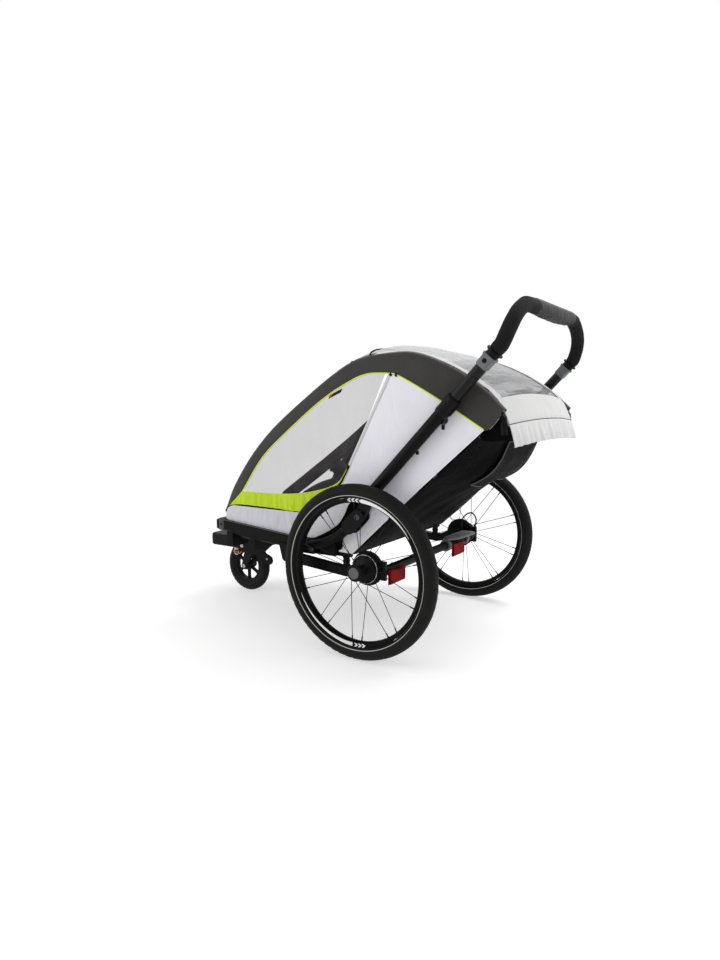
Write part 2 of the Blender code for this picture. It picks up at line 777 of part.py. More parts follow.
def make_floor_frame():
    rails = []
    for _, side in SIDES:
        rails.append(side_block(side, (RAIL_FRONT_X, RAIL_REAR_X), (RAIL_INNER, RAIL_OUTER),
                                (RAIL_BOTTOM, RAIL_TOP)))
    frame = piece("floor_frame", rails[0], TRAILER, "black_paint")
    soften(frame, 0.004, 1)
    fuse(frame, rails[1])
    reach = RAIL_OUTER - 0.007
    half = BEAM_SIZE / 2
    low = FLOOR_LEVEL - BEAM_SIZE
    for x in (FRONT_BEAM_X, BRACKET_BEAM_X):
        fuse(frame, block((x - half, -reach, low), (x + half, reach, low + BEAM_SIZE)))
    floor = FLOOR_LEVEL + GAP + PAN_WALL + GAP
    across = RAIL_INNER + 0.006
    fuse(frame, block((REAR_BEAM_X - half, -across, floor), (REAR_BEAM_X + half, across, floor + BEAM_SIZE)))
    for _, side in SIDES:
        tongue = (RAIL_REAR_X - 0.020, BUFFER_X + 0.016)
        fuse(frame, side_block(side, tongue, (RAIL_INNER - 0.003, BAND_OUTER_Y - CLOTH - 0.001),
                               (RAIL_BOTTOM, RAIL_BOTTOM + 0.0335)))
        make_front_bracket(frame, side)
        make_canopy_lug(frame, side, low)
        make_swing_ears(frame, side)


def make_front_bracket(frame, side):
    """V-shaped plate outside the arm's lug, with the pin that the arm folds on."""
    inner = ARM_HALF_WIDTH + 0.001
    outer = inner + BRACKET_WALL
    axis = (ARM_PIVOT_X, ARM_PIVOT_Z)
    knee = (-0.506, 0.212)
    tail = (-0.468, 0.190)
    beam = (BRACKET_BEAM_X - 0.004, RAIL_BOTTOM - 0.0085)
    front = link(axis, 0.022, knee, 0.011)
    rise = link(knee, 0.0095, beam, 0.012)
    drop = link(knee, 0.008, tail, 0.016)
    for outline in (front, rise, drop):
        fuse(frame, plate(outline, side, inner, outer))
    fuse(frame, cross_pin(*axis, side, inner - 0.016, inner + 0.002, 0.005))


def make_canopy_lug(frame, side, low):
    """Upright ear with the pin that a hoop folds on."""
    outline = arc((CANOPY_PIVOT_X, CANOPY_PIVOT_Z), 0.013, 0, 180, 6)
    outline += [(CANOPY_PIVOT_X - 0.001, low + 0.002), (FRONT_BEAM_X + 0.010, low + 0.002)]
    inner = HOOP_Y - HOOP_RADIUS - 0.0075
    fuse(frame, plate(outline, side, inner, inner + 0.006))
    fuse(frame, cross_pin(CANOPY_PIVOT_X, CANOPY_PIVOT_Z, side, inner + 0.002, HOOP_Y + 0.008, 0.004))


def make_swing_ears(frame, side):
    """Two ears under a rail with the pin of the rear swing arm."""
    pin = (SWING_PIVOT_X, SWING_PIVOT_Z)
    outline = arc(pin, 0.016, 180, 360, 6) + [(SWING_PIVOT_X + 0.028, RAIL_BOTTOM + 0.012)]
    outline += [(SWING_PIVOT_X - 0.028, RAIL_BOTTOM + 0.012)]
    near = RAIL_Y - SWING_ARM_WALL / 2 - 0.001
    far = RAIL_Y + SWING_ARM_WALL / 2 + 0.001
    fuse(frame, plate(outline, side, near - 0.006, near), plate(outline, side, far, far + 0.006))
    fuse(frame, cross_pin(*pin, side, near - 0.003, far + 0.003, SWING_PIN_RADIUS))


def make_floor_pan():
    """Floor of the footwell and trunk with the seat's riser and shelf, in one folded sheet."""
    level = FLOOR_LEVEL + GAP
    front = FRONT_BEAM_X + BEAM_SIZE / 2 + 0.004
    rear = BACK_LINE[0][0] - 0.004
    pan = piece("floor_pan", block((front, -PAN_HALF_WIDTH, level), (rear, PAN_HALF_WIDTH, level + PAN_WALL)),
                TRAILER, "black_plastic")
    foot = SEAT_FRONT_X - 0.012
    riser = [(foot, level + 0.001), (SEAT_FRONT_X, SEAT_SHELF_Z), (SHELF_REAR_X, SEAT_SHELF_Z),
             (SHELF_REAR_X, SEAT_SHELF_Z - PAN_WALL), (SEAT_FRONT_X + PAN_WALL, SEAT_SHELF_Z - PAN_WALL),
             (foot + PAN_WALL, level + 0.001)]
    fuse(pan, slab([(x, -SHELF_HALF_WIDTH, z) for x, z in riser], (0, 2 * SHELF_HALF_WIDTH, 0)))


def make_corner_cap(name, side):
    """Moulded cap on the front end of a rail."""
    radius = 0.012
    rear = SKIRT_FRONT_X - 0.0015
    front = RAIL_FRONT_X - 0.006
    outer = RAIL_OUTER
    inner = RAIL_INNER - 0.032
    corner = (front + radius, outer - radius)
    outline = [(rear, inner), (rear, outer)] + arc(corner, radius, 90, 180, 5) + [(front, inner)]
    corners = [(x, side * y, COVER_LEVEL) for x, y in outline]
    cap = piece(f"corner_cap_{name}", slab(corners, (0, 0, 0.030)), TRAILER, "grey_plastic")
    soften(cap, 0.003, 1)


def make_hinge_post(name, side):
    """Curved tube from the rail up to the fork that the push frame turns in."""
    foot = side_block(side, (-0.236, -0.176), (RAIL_OUTER + GAP, RAIL_OUTER + 0.024), (0.272, 0.306))
    post = piece(f"hinge_post_{name}", foot, TRAILER, "black_paint")
    soften(post, 0.004, 1)
    route = smooth([(-0.206, 0.294), (-0.150, 0.308), (-0.100, 0.332), (-0.055, 0.366)], 3)
    y = side * (RAIL_OUTER + GAP + POST_RADIUS)
    fuse(post, sweep([vec(x, y, z) for x, z in route], POST_RADIUS, 10))
    pin = (PUSH_PIVOT_X, PUSH_PIVOT_Z)
    jaw = plate(link(pin, 0.021, (-0.052, 0.368), 0.022), side, PUSH_Y - JAW_HALF, PUSH_Y + JAW_HALF)
    fuse(post, jaw)
    slot = side_block(side, (-0.041, 0.020), (PUSH_Y - TONGUE_HALF - 0.001, PUSH_Y + TONGUE_HALF + 0.001),
                      (0.372, 0.450))
    drill(post, slot)
    fuse(post, cross_pin(*pin, side, PUSH_Y - JAW_HALF + 0.002, PUSH_Y + JAW_HALF - 0.002, 0.005))


def make_skirt():
    """Cloth round the foot of the cabin, along both sides and across the front."""
    rear = PANEL_FOOT[2][0] - SEAM
    out = SKIRT_INNER_Y + CLOTH
    corner = 0.014
    front = SKIRT_FRONT_X
    outline = [(rear, out)] + [(rear, SKIRT_INNER_Y)]
    outline += arc((front + corner, SKIRT_INNER_Y - corner + CLOTH), corner - CLOTH, 90, 180, 4)
    outline += arc((front + corner, -SKIRT_INNER_Y + corner - CLOTH), corner - CLOTH, 180, 270, 4)
    outline += [(rear, -SKIRT_INNER_Y), (rear, -out)]
    outline += arc((front + corner, -out + corner), corner, 270, 180, 4)
    outline += arc((front + corner, out - corner), corner, 180, 90, 4)
    corners = [(x, y, COVER_LEVEL + 0.0005) for x, y in outline]
    piece("skirt", slab(corners, (0, 0, SKIRT_TOP - COVER_LEVEL - 0.0005)), TRAILER, "white_fabric")


# Rear suspension


def make_swing_frame():
    """Two arms joined by the rear cross bar, with the sockets of the plug-in axles."""
    start = vec(CROSS_BAR_X, -RAIL_Y, CROSS_BAR_Z)
    end = vec(CROSS_BAR_X, RAIL_Y, CROSS_BAR_Z)
    frame = piece("swing_frame", sweep([start, end], CROSS_BAR_RADIUS, 16), SWING_AXIS, "black_paint")
    inner = RAIL_Y - SWING_ARM_WALL / 2
    outer = RAIL_Y + SWING_ARM_WALL / 2
    pin = (SWING_PIVOT_X, SWING_PIVOT_Z)
    dip = (-0.080, 0.226)
    axle = (0.0, WHEEL_RADIUS)
    bar_end = (CROSS_BAR_X, CROSS_BAR_Z)
    front = link(pin, 0.0145, dip, 0.0130)
    rise = link(dip, 0.0120, axle, 0.021)
    tail = link(axle, 0.0195, bar_end, 0.0152)
    for _, side in SIDES:
        for outline in (front, rise, tail):
            fuse(frame, plate(outline, side, inner, outer))
        fuse(frame, side_block(side, (BUFFER_X - 0.014, BUFFER_X + 0.014), (inner - 0.004, outer - 0.003),
                               (BUFFER_SEAT - 0.012, BUFFER_SEAT)))
        fuse(frame, cross_pin(*axle, side, inner - 0.006, inner + 0.001, 0.0115))
        drill(frame, cross_pin(*axle, side, inner - 0.01, outer + 0.01, AXLE_RADIUS + PLAY + 0.0001))
        drill(frame, cross_pin(*pin, side, inner - 0.01, outer + 0.01, SWING_PIN_RADIUS + PLAY))


def make_buffer(name, side):
    """Rubber buffer between a swing arm and its rail."""
    low = BUFFER_SEAT + GAP
    high = RAIL_BOTTOM - GAP
    waist = [vec(BUFFER_X, side * BUFFER_Y, z) for z in spread(low, high, 4)]
    radii = [BUFFER_RADIUS * k for k in (1.0, 0.8, 1.0, 0.8, 1.0)]
    piece(f"suspension_buffer_{name}", sweep(waist, radii, 12), TRAILER, "rubber")


def make_brake_plate(name, side):
    """Fixed brake plate beside the drum, with the cable's housing at its rear."""
    low = RAIL_Y + SWING_ARM_WALL / 2 + 0.001
    high = low + BRAKE_PLATE_WALL
    bore = AXLE_RADIUS + 0.0015
    ring = [(bore, low), (bore, high), (BRAKE_PLATE_RADIUS - 0.003, high)]
    ring += [(BRAKE_PLATE_RADIUS, high - 0.003), (BRAKE_PLATE_RADIUS, low)]
    disc = turned(ring, 20, side, closed=True)
    disc.transform(Matrix.Translation((0, 0, WHEEL_RADIUS)))
    drum = piece(f"brake_plate_{name}", disc, SWING_AXIS, "black_plastic")
    housing = side_block(side, (0.036, 0.062), (low + 0.0005, high - 0.0005), (0.222, 0.276))
    fuse(drum, housing)


def make_reflector(name, side):
    """Red reflector behind the cross bar, with the clip that hangs it on the bar."""
    thick, width, tall = REFLECTOR_SIZE
    y = side * REFLECTOR_Y[name]
    front = CROSS_BAR_X + CROSS_BAR_RADIUS + 0.0032
    low = REFLECTOR_TOP - tall
    lens = block((front, y - width / 2, low), (front + thick, y + width / 2, REFLECTOR_TOP))
    reflector = piece(f"reflector_{name}", lens, SWING_AXIS, "red_lens")
    soften(reflector, 0.0025, 1)
    grip = CROSS_BAR_RADIUS + GAP
    clip = arc((CROSS_BAR_X, CROSS_BAR_Z), grip, 150, 345, 8)
    clip += arc((CROSS_BAR_X, CROSS_BAR_Z), grip + 0.0045, 345, 150, 8)
    for shift in (-0.030, 0.015):
        fuse(reflector, slab([(x, y + side * shift - 0.006, z) for x, z in clip], (0, 0.012, 0)))


def make_pedal():
    """Long parking-brake pedal over the cross bar, with the two eyes that it turns on."""
    reach = CROSS_BAR_RADIUS + PLAY
    top = CROSS_BAR_Z + reach + 0.0125
    outline = [(0.038, PEDAL_LEFT), (0.030, PEDAL_LEFT + 0.030)]
    outline += [(0.032, PEDAL_RIGHT - 0.012), (0.046, PEDAL_RIGHT)]
    outline += [(0.078, PEDAL_RIGHT), (0.088, PEDAL_RIGHT - 0.016)]
    outline += [(0.078, PEDAL_LEFT + 0.040), (0.056, PEDAL_LEFT)]
    paddle = slab([(x, y, top - 0.008) for x, y in outline], (0, 0, 0.008))
    pedal = piece("brake_pedal", paddle, PEDAL_AXIS, "grey_plastic")
    soften(pedal, 0.0025, 1)
    for y in (PEDAL_LEFT + 0.002, PEDAL_RIGHT - 0.026):
        eye = bar((CROSS_BAR_X, y, CROSS_BAR_Z), (CROSS_BAR_X, y + 0.014, CROSS_BAR_Z), reach + 0.0062, 16)
        fuse(pedal, eye)
    left = (CROSS_BAR_X, PEDAL_LEFT - 0.02, CROSS_BAR_Z)
    right = (CROSS_BAR_X, PEDAL_RIGHT + 0.02, CROSS_BAR_Z)
    drill(pedal, bar(left, right, reach, 16))


def make_cable():
    """Brake cable from a clip on the cross bar, up in an arc and down into the right brake."""
    route = (
        (0.036, 0.261, 0.2600),
        (0.030, 0.261, 0.285),
        (0.028, 0.268, 0.315),
        (0.036, 0.284, 0.342),
        (0.050, 0.298, 0.350),
        (0.060, 0.306, 0.336),
        (0.063, 0.313, 0.315),
        (0.061, 0.319, 0.296),
        (0.056, 0.3205, 0.2770),
    )
    path = smooth([vec(*point) for point in route], 2)
    piece("brake_cable", sweep(path, CABLE_RADIUS, 8), SWING_AXIS, "rubber")


# Push frame and handle


def make_push_tube(name, side):
    """Lower push tube with its tongue, and the catch under the collar that meets the hoop."""
    end = along_tube(MAIN_TUBE_LENGTH, side)
    shaft = bar(along_tube(0, side), end, MAIN_TUBE_RADIUS, 16)
    tube = piece(f"main_tube_{name}", shaft, PUSH_AXIS, "black_paint")
    pin = (PUSH_PIVOT_X, PUSH_PIVOT_Z)
    foot = along_tube(0.020, side)
    tongue = link(pin, 0.0155, (foot.x, foot.z), 0.0165)
    fuse(tube, plate(tongue, side, PUSH_Y - TONGUE_HALF, PUSH_Y + TONGUE_HALF))
    centre = along_tube(COLLAR_START - 0.017, side)
    tip = along_tube(COLLAR_START - 0.011, side, 0.013)
    catch = link((centre.x, centre.z), 0.0145, (tip.x, tip.z), 0.0095)
    fuse(tube, plate(catch, side, KNUCKLE_INNER, PUSH_Y + 0.003))
    drill(tube, bar(along_tube(0.130, side), along_tube(MAIN_TUBE_LENGTH + 0.01, side), BORE_RADIUS, 16))
    drill(tube, cross_pin(*pin, side, PUSH_Y - 0.03, PUSH_Y + 0.03, 0.005 + PLAY))


def make_collar(name, side, carrier):
    """Twisting lock collar with a thumb rib."""
    inner = MAIN_TUBE_RADIUS + PLAY
    start = COLLAR_START
    end = start + COLLAR_LENGTH
    shell = pipe(along_tube(start, side), along_tube(end, side), COLLAR_RADIUS, inner, 16)
    collar = piece(f"collar_{name}", shell, carrier, "black_plastic")
    soften(collar, 0.002, 1)
    low = COLLAR_RADIUS - 0.001
    rib = [along_tube(start + 0.010, side, low), along_tube(end - 0.010, side, low)]
    rib += [along_tube(end - 0.014, side, low + 0.0045), along_tube(start + 0.014, side, low + 0.0045)]
    fuse(collar, slab([p - vec(0, 0.003, 0) for p in rib], (0, 0.006, 0)))


def make_handle_side(name, side):
    start = along_tube(INNER_TUBE_START, side)
    end = along_tube(CLAMP_START + 0.010, side)
    piece(f"inner_tube_{name}", pipe(start, end, INNER_TUBE_RADIUS, INNER_TUBE_RADIUS - TUBE_WALL, 16),
          HANDLE_AXIS, "black_paint")
    low = along_tube(CLAMP_START, side)
    outline = []
    for distance, off in ((0, -0.020), (CLAMP_LENGTH - 0.009, -0.020), (CLAMP_LENGTH - 0.004, -0.0265),
                          (CLAMP_LENGTH, -0.0265), (CLAMP_LENGTH, 0.0265), (CLAMP_LENGTH - 0.004, 0.0265),
                          (CLAMP_LENGTH - 0.009, 0.020), (0, 0.020)):
        point = low + distance * TUBE_DIRECTION + off * TUBE_ACROSS
        outline.append((point.x, point.z))
    clamp = piece(f"clamp_{name}", plate(outline, side, PUSH_Y - CLAMP_HALF, PUSH_Y + CLAMP_HALF),
                  HANDLE_AXIS, "grey_plastic")
    soften(clamp, 0.002, 1)
    pocket = bar(along_tube(CLAMP_START - 0.01, side), along_tube(CLAMP_START + 0.0105, side),
                 INNER_TUBE_RADIUS + GAP, 16)
    socket = bar(along_tube(CLAMP_START + 0.0145, side), along_tube(CLAMP_START + CLAMP_LENGTH + 0.01, side),
                 HANDLE_TUBE_RADIUS + GAP, 12)
    centre = along_tube(CLAMP_START + 0.021, side)
    well = bar(centre + vec(0, side * 0.0135, 0), centre + vec(0, side * 0.04, 0), CATCH_RADIUS + PLAY, 12)
    drill(clamp, pocket, socket, well)
    outer = centre + vec(0, side * (CLAMP_HALF + 0.0015), 0)
    head = bar(centre + vec(0, side * 0.0165, 0), outer, CATCH_RADIUS, 12)
    piece(f"handle_catch_{name}", head, CATCH_PIVOT[name], "black_plastic")


def handle_route():
    """Axis of the handle from the left clamp to the middle of the crossbar, and on to the right."""
    start = CLAMP_START + CLAMP_LENGTH
    first = along_tube(start + FERRULE_LENGTH, -1)
    half = [along_tube(start - 0.020, -1), along_tube(start + 0.004, -1), first]
    half.append(first + 0.010 * TUBE_DIRECTION)
    half += [vec(x, -y, z) for x, y, z in HANDLE_BEND]
    return half, mirrored(half)


def make_handle():
    left, right = handle_route()
    handle = piece("handle_bar", sweep(left + right[1:], HANDLE_TUBE_RADIUS, 8), HANDLE_AXIS, "black_paint")
    start = CLAMP_START + CLAMP_LENGTH
    end = start + FERRULE_LENGTH
    for _, side in SIDES:
        ferrule = bar(along_tube(start + GAP, side), along_tube(end - 0.002, side), 0.018, 12)
        flange = bar(along_tube(end - 0.005, side), along_tube(end, side), 0.0235, 16)
        fuse(handle, ferrule, flange)
    ends = [[p[2] + GAP * TUBE_DIRECTION, p[2] + 0.010 * TUBE_DIRECTION] for p in (left, right[::-1])]
    foam_path = ends[0] + left[4:] + right[1:-4] + ends[1][::-1]
    foam = piece("handle_foam", sweep(foam_path, FOAM_RADIUS, 10), HANDLE_AXIS, "foam")
    bore = [foam_path[0] - 0.01 * TUBE_DIRECTION, *foam_path, foam_path[-1] - 0.01 * TUBE_DIRECTION]
    drill(foam, sweep(bore, HANDLE_TUBE_RADIUS + FOAM_ROOM, 10))


# Canopy


def roof_height(x, y):
    side_z = height_at(HOOP, x) - 0.001
    return side_z + (height_at(RIDGE, x) - side_z) * (1 - abs(y / ROOF_HALF_WIDTH) ** 2.2)


def bow_route(x):
    """Half of a cross bow, from the left hoop to the middle, close under the roof cloth."""
    half = []
    for y in spread(-HOOP_Y, 0, 5):
        slope = (roof_height(x + 0.01, y) - roof_height(x - 0.01, y)) / 0.02
        depth = (CLOTH + BOW_RADIUS + 0.002) * math.sqrt(1 + slope**2)
        half.append(vec(x, y, roof_height(x, y) - depth))
    return half


def mirrored(half):
    return [vec(p.x, -p.y, p.z) for p in reversed(half)]


def make_canopy_frame():
    """Two side hoops joined by a front and a rear bow."""
    centre = moved_in(HOOP + [Vector(p) for p in HOOP_TAIL], HOOP_RADIUS + CLOTH + 0.001)
    foot = Vector((CANOPY_PIVOT_X, CANOPY_PIVOT_Z))
    line = [foot, foot + Vector((0.004, 0.022))] + centre[1::2]
    frame = piece("canopy_frame", sweep([vec(p[0], -HOOP_Y, p[1]) for p in line], HOOP_RADIUS, 8),
                  CANOPY_AXIS, "black_paint")
    fuse(frame, sweep([vec(p[0], HOOP_Y, p[1]) for p in line], HOOP_RADIUS, 8))
    for x in (FRONT_BOW_X, REAR_BOW_X):
        half = bow_route(x)
        fuse(frame, sweep(half + mirrored(half[:-1]), BOW_RADIUS, 6))
    inner = HOOP_Y - HOOP_RADIUS
    outer = HOOP_Y + HOOP_RADIUS - 0.001
    for _, side in SIDES:
        fuse(frame, cross_pin(CANOPY_PIVOT_X, CANOPY_PIVOT_Z, side, inner, outer, 0.012))
        drill(frame, cross_pin(CANOPY_PIVOT_X, CANOPY_PIVOT_Z, side, inner - 0.01, outer + 0.01,
                               0.004 + PLAY))


def make_canopy_band():
    """Dark cloth along both hoops, with the front cover rolled up across the front bow."""
    outline = shrunk(HOOP + [Vector(p) for p in BAND_END] + PIPING[:0:-1], SEAM / 2)
    rim = HOOP + moved_in(HOOP, CLOTH)[::-1]
    plates = [plate(outline, side, BAND_OUTER_Y - CLOTH, BAND_OUTER_Y) for _, side in SIDES]
    band = piece("canopy_band", plates[0], CANOPY_AXIS, "band_fabric")
    fuse(band, plates[1])
    x = FRONT_BOW_X - BOW_RADIUS - ROLL_RADIUS - 0.003
    near = [Vector((a, height_at(HOOP, a) + 0.001)) for a in spread(x - 0.008, x + 0.008, 2)]
    lap = near + moved_in(near, CLOTH)[::-1]
    for _, side in SIDES:
        fuse(band, plate(rim, side, BAND_INNER_Y, BAND_OUTER_Y - 0.0002))
        fuse(band, plate(lap, side, ROLL_END_Y - 0.010, BAND_INNER_Y + 0.004))
    half = []
    for y in spread(-ROLL_END_Y, 0, 5):
        half.append(vec(x, y, roof_height(x, y) - ROLL_RADIUS + 0.002))
    fuse(band, sweep(half + mirrored(half[:-1]), ROLL_RADIUS, 8))


def roof_point(y, x):
    return vec(x, y, roof_height(x, y))


def make_roof():
    """White border of the roof and the clear window inside it."""
    window = ROOF_HALF_WIDTH - ROOF_BORDER
    front = FRONT_BOW_X - 0.003
    rear = REAR_BOW_X + 0.012
    mids = spread(-window, window, 8)
    across = [-ROOF_HALF_WIDTH] + mids + [ROOF_HALF_WIDTH]
    along = [front, front + 0.016] + spread(front + 0.016, rear - 0.030, 10)[1:] + [rear]
    last_column = len(across) - 2
    last_row = len(along) - 2

    def on_border(j, i):
        return j == 0 or j == last_column or i == 0 or i == last_row

    border = sheet(roof_point, across, along, CLOTH, keep=on_border)
    piece("roof_panel", border, CANOPY_AXIS, "white_fabric")
    inset = SEAM / 2
    pane_across = spread(-window + inset, window - inset, 8)
    pane_along = spread(front + 0.016 + inset, rear - 0.030 - inset, 10)
    piece("roof_window", sheet(roof_point, pane_across, pane_along, 0.001), CANOPY_AXIS, "clear_sheet")


def make_flap():
    """Rear roof flap, bowed outwards, with shallow gathers along its foot."""
    line = smooth(FLAP_DROP, 2)

    def flap_point(y, row):
        p = line[row]
        fold = 0.0018 * math.cos(y * 150) * (row / (len(line) - 1)) ** 2
        bow = 0.010 * (1 - (y / FLAP_HALF_WIDTH) ** 2)
        return vec(p[0] + bow + fold, y, p[1] + 0.4 * bow)

    across = spread(-FLAP_HALF_WIDTH, FLAP_HALF_WIDTH, 18)
    piece("rear_flap", sheet(flap_point, across, range(len(line)), CLOTH), CANOPY_AXIS, "white_fabric")


def make_side(name, side):
    """White and lime side cloth and the clear side window in front of it."""
    inner = BAND_OUTER_Y - CLOTH
    cut = 2 * (len(PIPING_FRONT) - 1) + 1
    front, rear = PIPING[1:cut + 1], PIPING[cut:]
    strip = smooth(STRIP_TOP, 3)
    outline = strip + rear
    outline += [Vector(p) for p in REAR_EDGE[1:] + PANEL_FOOT[:-1] + STRIP_BOTTOM]
    panel = plate(shrunk(outline, SEAM / 2), side, inner, BAND_OUTER_Y)
    piece(f"side_panel_{name}", panel, TRAILER, "white_fabric")
    pane = plate(shrunk(front + strip[::-1][:-1], SEAM / 2), side, inner + 0.001, inner + 0.002)
    piece(f"side_window_{name}", pane, TRAILER, "clear_sheet")


def back_point(y, v):
    """Point of the trunk's back cloth: y across, v from its foot to its head."""
    line = BACK
    place = v * (len(line) - 1)
    k = min(int(place), len(line) - 2)
    p = line[k].lerp(line[k + 1], place - k)
    ahead = (line[k + 1] - line[k]).normalized()
    width = BACK_HALF_WIDTH - 0.020 * max(0.0, v - 0.80) / 0.20
    bow = 1 - (y / BACK_HALF_WIDTH) ** 2
    belly = 0.026 * math.sin(math.pi * v) ** 0.7 + 0.036 * math.exp(-(((v - 0.64) / 0.15) ** 2))
    fold = 0.005 * math.sin(26 * y + 7 * v) * math.sin(math.pi * v)
    out = (belly + fold) * bow
    return vec(p[0] + ahead[1] * out, y * width / BACK_HALF_WIDTH, p[1] - ahead[0] * out)


def make_back():
    """Black trunk cloth with its belly and folds, and the mesh pocket on its upper part."""
    across = spread(-BACK_HALF_WIDTH, BACK_HALF_WIDTH, 16)
    rows = spread(0.0, 1.0, 12)
    piece("back_panel", sheet(back_point, across, rows, CLOTH), TRAILER, "black_fabric")

    def pocket_point(y, v):
        base = back_point(y, v)
        swell = 0.0065 + 0.005 * math.sin(math.pi * (v - 0.56) / 0.26)
        return base + vec(swell * 0.73, 0, -swell * 0.68)

    pocket = sheet(pocket_point, spread(-0.130, 0.130, 8), spread(0.56, 0.82, 5), CLOTH * 0.6)
    piece("mesh_pocket", pocket, TRAILER, "mesh")


# Cabin


def make_seat():
    half = SHELF_HALF_WIDTH - 0.006
    lines = ((0.0, 1.0), (-0.5, 0.35), (0.5, 0.35))
    base = cushion(vec(SEAT_FRONT_X + 0.004, 0, SEAT_SHELF_Z + GAP), vec(0, 1, 0), vec(1, 0, 0), vec(0, 0, 1),
                   half, SEAT_DEPTH, SEAT_PAD, SEAT_CROWN, lines, (16, 6))
    piece("seat_base", base, TRAILER, "seat_fabric", sharp=60)
    lean = Vector((math.cos(BACK_LEAN), 0, math.sin(BACK_LEAN)))
    out = Vector((-math.sin(BACK_LEAN), 0, math.cos(BACK_LEAN)))
    foot = vec(BACK_FOOT_X, 0, SEAT_SHELF_Z + SEAT_PAD)
    back = cushion(foot, vec(0, 1, 0), lean, out, half, BACK_LENGTH, BACK_PAD, BACK_CROWN, lines, (16, 8))
    piece("seat_back", back, TRAILER, "seat_fabric", sharp=60)


def make_bolster(name, side):
    """Padded band from the seat's front corner up beside the backrest."""
    line = smooth(((-0.315, 0.445), (-0.215, 0.520), (-0.100, 0.612), (0.020, 0.712), (0.062, 0.752)), 2)
    lower = [p + Vector((0.0, -0.020)) for p in line]
    upper = [p + Vector((0.0, 0.024)) for p in line]
    strip = plate(upper + lower[::-1], side, BOLSTER_INNER, BOLSTER_INNER + 0.018)
    bolster = piece(f"bolster_{name}", strip, TRAILER, "seat_fabric")
    soften(bolster, 0.005, 1, 50)


def make_buckle(name, side, carrier):
    """Harness buckle on its crotch strap in front of a seat place, with the button to open it."""
    thick, width, tall = BUCKLE_SIZE
    x = SEAT_FRONT_X + BUCKLE_X
    z = SEAT_SHELF_Z + BUCKLE_LIFT
    y = side * SEAT_PLACE_Y
    middle = BUTTON_Z
    shell = block((x - thick / 2, y - width / 2, z), (x + thick / 2, y + width / 2, z + tall))
    buckle = piece(f"buckle_{name}", shell, TRAILER, "black_plastic")
    soften(buckle, 0.003, 1)
    front = x - thick / 2
    drill(buckle, bar((front - 0.012, y, middle), (x - 0.001, y, middle), BUCKLE_BUTTON_RADIUS + PLAY, 12))
    button = bar((front - 0.0015, y, middle), (front + 0.0035, y, middle), BUCKLE_BUTTON_RADIUS, 12)
    piece(f"buckle_button_{name}", button, carrier, "red_lens")


clear_scene()
LOOK = {name: make_look(name) for name in LOOKS}
HOOP = smooth(HOOP_EDGE, 2)
PIPING = [HOOP[0]] + smooth(PIPING_FRONT, 2) + smooth(PIPING_REAR, 2)[1:]
RIDGE = smooth(ROOF_RIDGE, 3)
BACK = smooth(BACK_LINE, 4)

TRAILER = pivot("trailer", (0, 0, 0), None)
SWING_AXIS = pivot("swing_axis", (SWING_PIVOT_X, 0, SWING_PIVOT_Z), TRAILER)
PEDAL_AXIS = pivot("pedal_axis", (CROSS_BAR_X, 0, CROSS_BAR_Z), SWING_AXIS)
ARM_AXIS = pivot("arm_axis", (ARM_PIVOT_X, 0, ARM_PIVOT_Z), TRAILER)
SWIVEL = pivot("swivel_axis", (SWIVEL_X, 0, CROWN_Z), ARM_AXIS)
CASTER_AXIS = pivot("caster_axis", (CASTER_X, 0, CASTER_RADIUS), SWIVEL)
LOCK_AXIS = pivot("lock_axis", (LOCK_X, LOCK_Y, ARM_BOTTOM), ARM_AXIS)
PUSH_AXIS = pivot("push_axis", (PUSH_PIVOT_X, 0, PUSH_PIVOT_Z), TRAILER)
HANDLE_AXIS = pivot("handle_axis", along_tube(COLLAR_START, 0), PUSH_AXIS)
CANOPY_AXIS = pivot("canopy_axis", (CANOPY_PIVOT_X, 0, CANOPY_PIVOT_Z), TRAILER)
RELEASE_PIVOT = {}
CATCH_PIVOT = {}

for side_name, way in SIDES:
    wheel_at = (0, way * WHEEL_Y, WHEEL_RADIUS)
    wheel_axis = pivot(f"wheel_axis_{side_name}", wheel_at, SWING_AXIS)
    RELEASE_PIVOT[side_name] = pivot(f"release_axis_{side_name}", wheel_at, wheel_axis)
    catch_at = along_tube(CLAMP_START + 0.021, way)
    CATCH_PIVOT[side_name] = pivot(f"catch_axis_{side_name}", catch_at, HANDLE_AXIS)
    collar_axis = pivot(f"collar_axis_{side_name}", along_tube(COLLAR_START, way), PUSH_AXIS)
    button_at = (SEAT_FRONT_X + BUCKLE_X, way * SEAT_PLACE_Y, BUTTON_Z)
    button_axis = pivot(f"buckle_axis_{side_name}", button_at, TRAILER)
    make_wheel(side_name, way, wheel_axis)
    make_corner_cap(side_name, way)
    make_hinge_post(side_name, way)
    make_buffer(side_name, way)
    make_brake_plate(side_name, way)
    make_reflector(side_name, way)
    make_push_tube(side_name, way)
    make_collar(side_name, way, collar_axis)
    make_handle_side(side_name, way)
    make_side(side_name, way)
    make_bolster(side_name, way)
    make_buckle(side_name, way, button_axis)

make_caster()
make_fork()
make_front_arm()
make_lock_pin()
make_floor_frame()
make_floor_pan()
make_skirt()
make_swing_frame()
make_pedal()
make_cable()
make_handle()
make_canopy_frame()
make_canopy_band()
make_roof()
make_flap()
make_back()
make_seat()

# The trailer's origin lies under the middle of its length, from the caster to the handle.
FRONT_END = CASTER_X - CASTER_RADIUS
REAR_END = CROSSBAR_X + FOAM_RADIUS
TRAILER.location.x = -(FRONT_END + REAR_END) / 2
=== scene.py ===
"""Two-seat child bike trailer in its stroller form: looks, cloth and fittings.

Forms are made in trailer coordinates, in metres: x runs from the front (-) to the push handle
(+) with 0 over the main axle, y from the left side (-) to the right side (+), z is height.
made() moves each one along x to its place in the frame.
"""

import math

import bmesh
import bpy
from mathutils import Matrix, Vector, noise


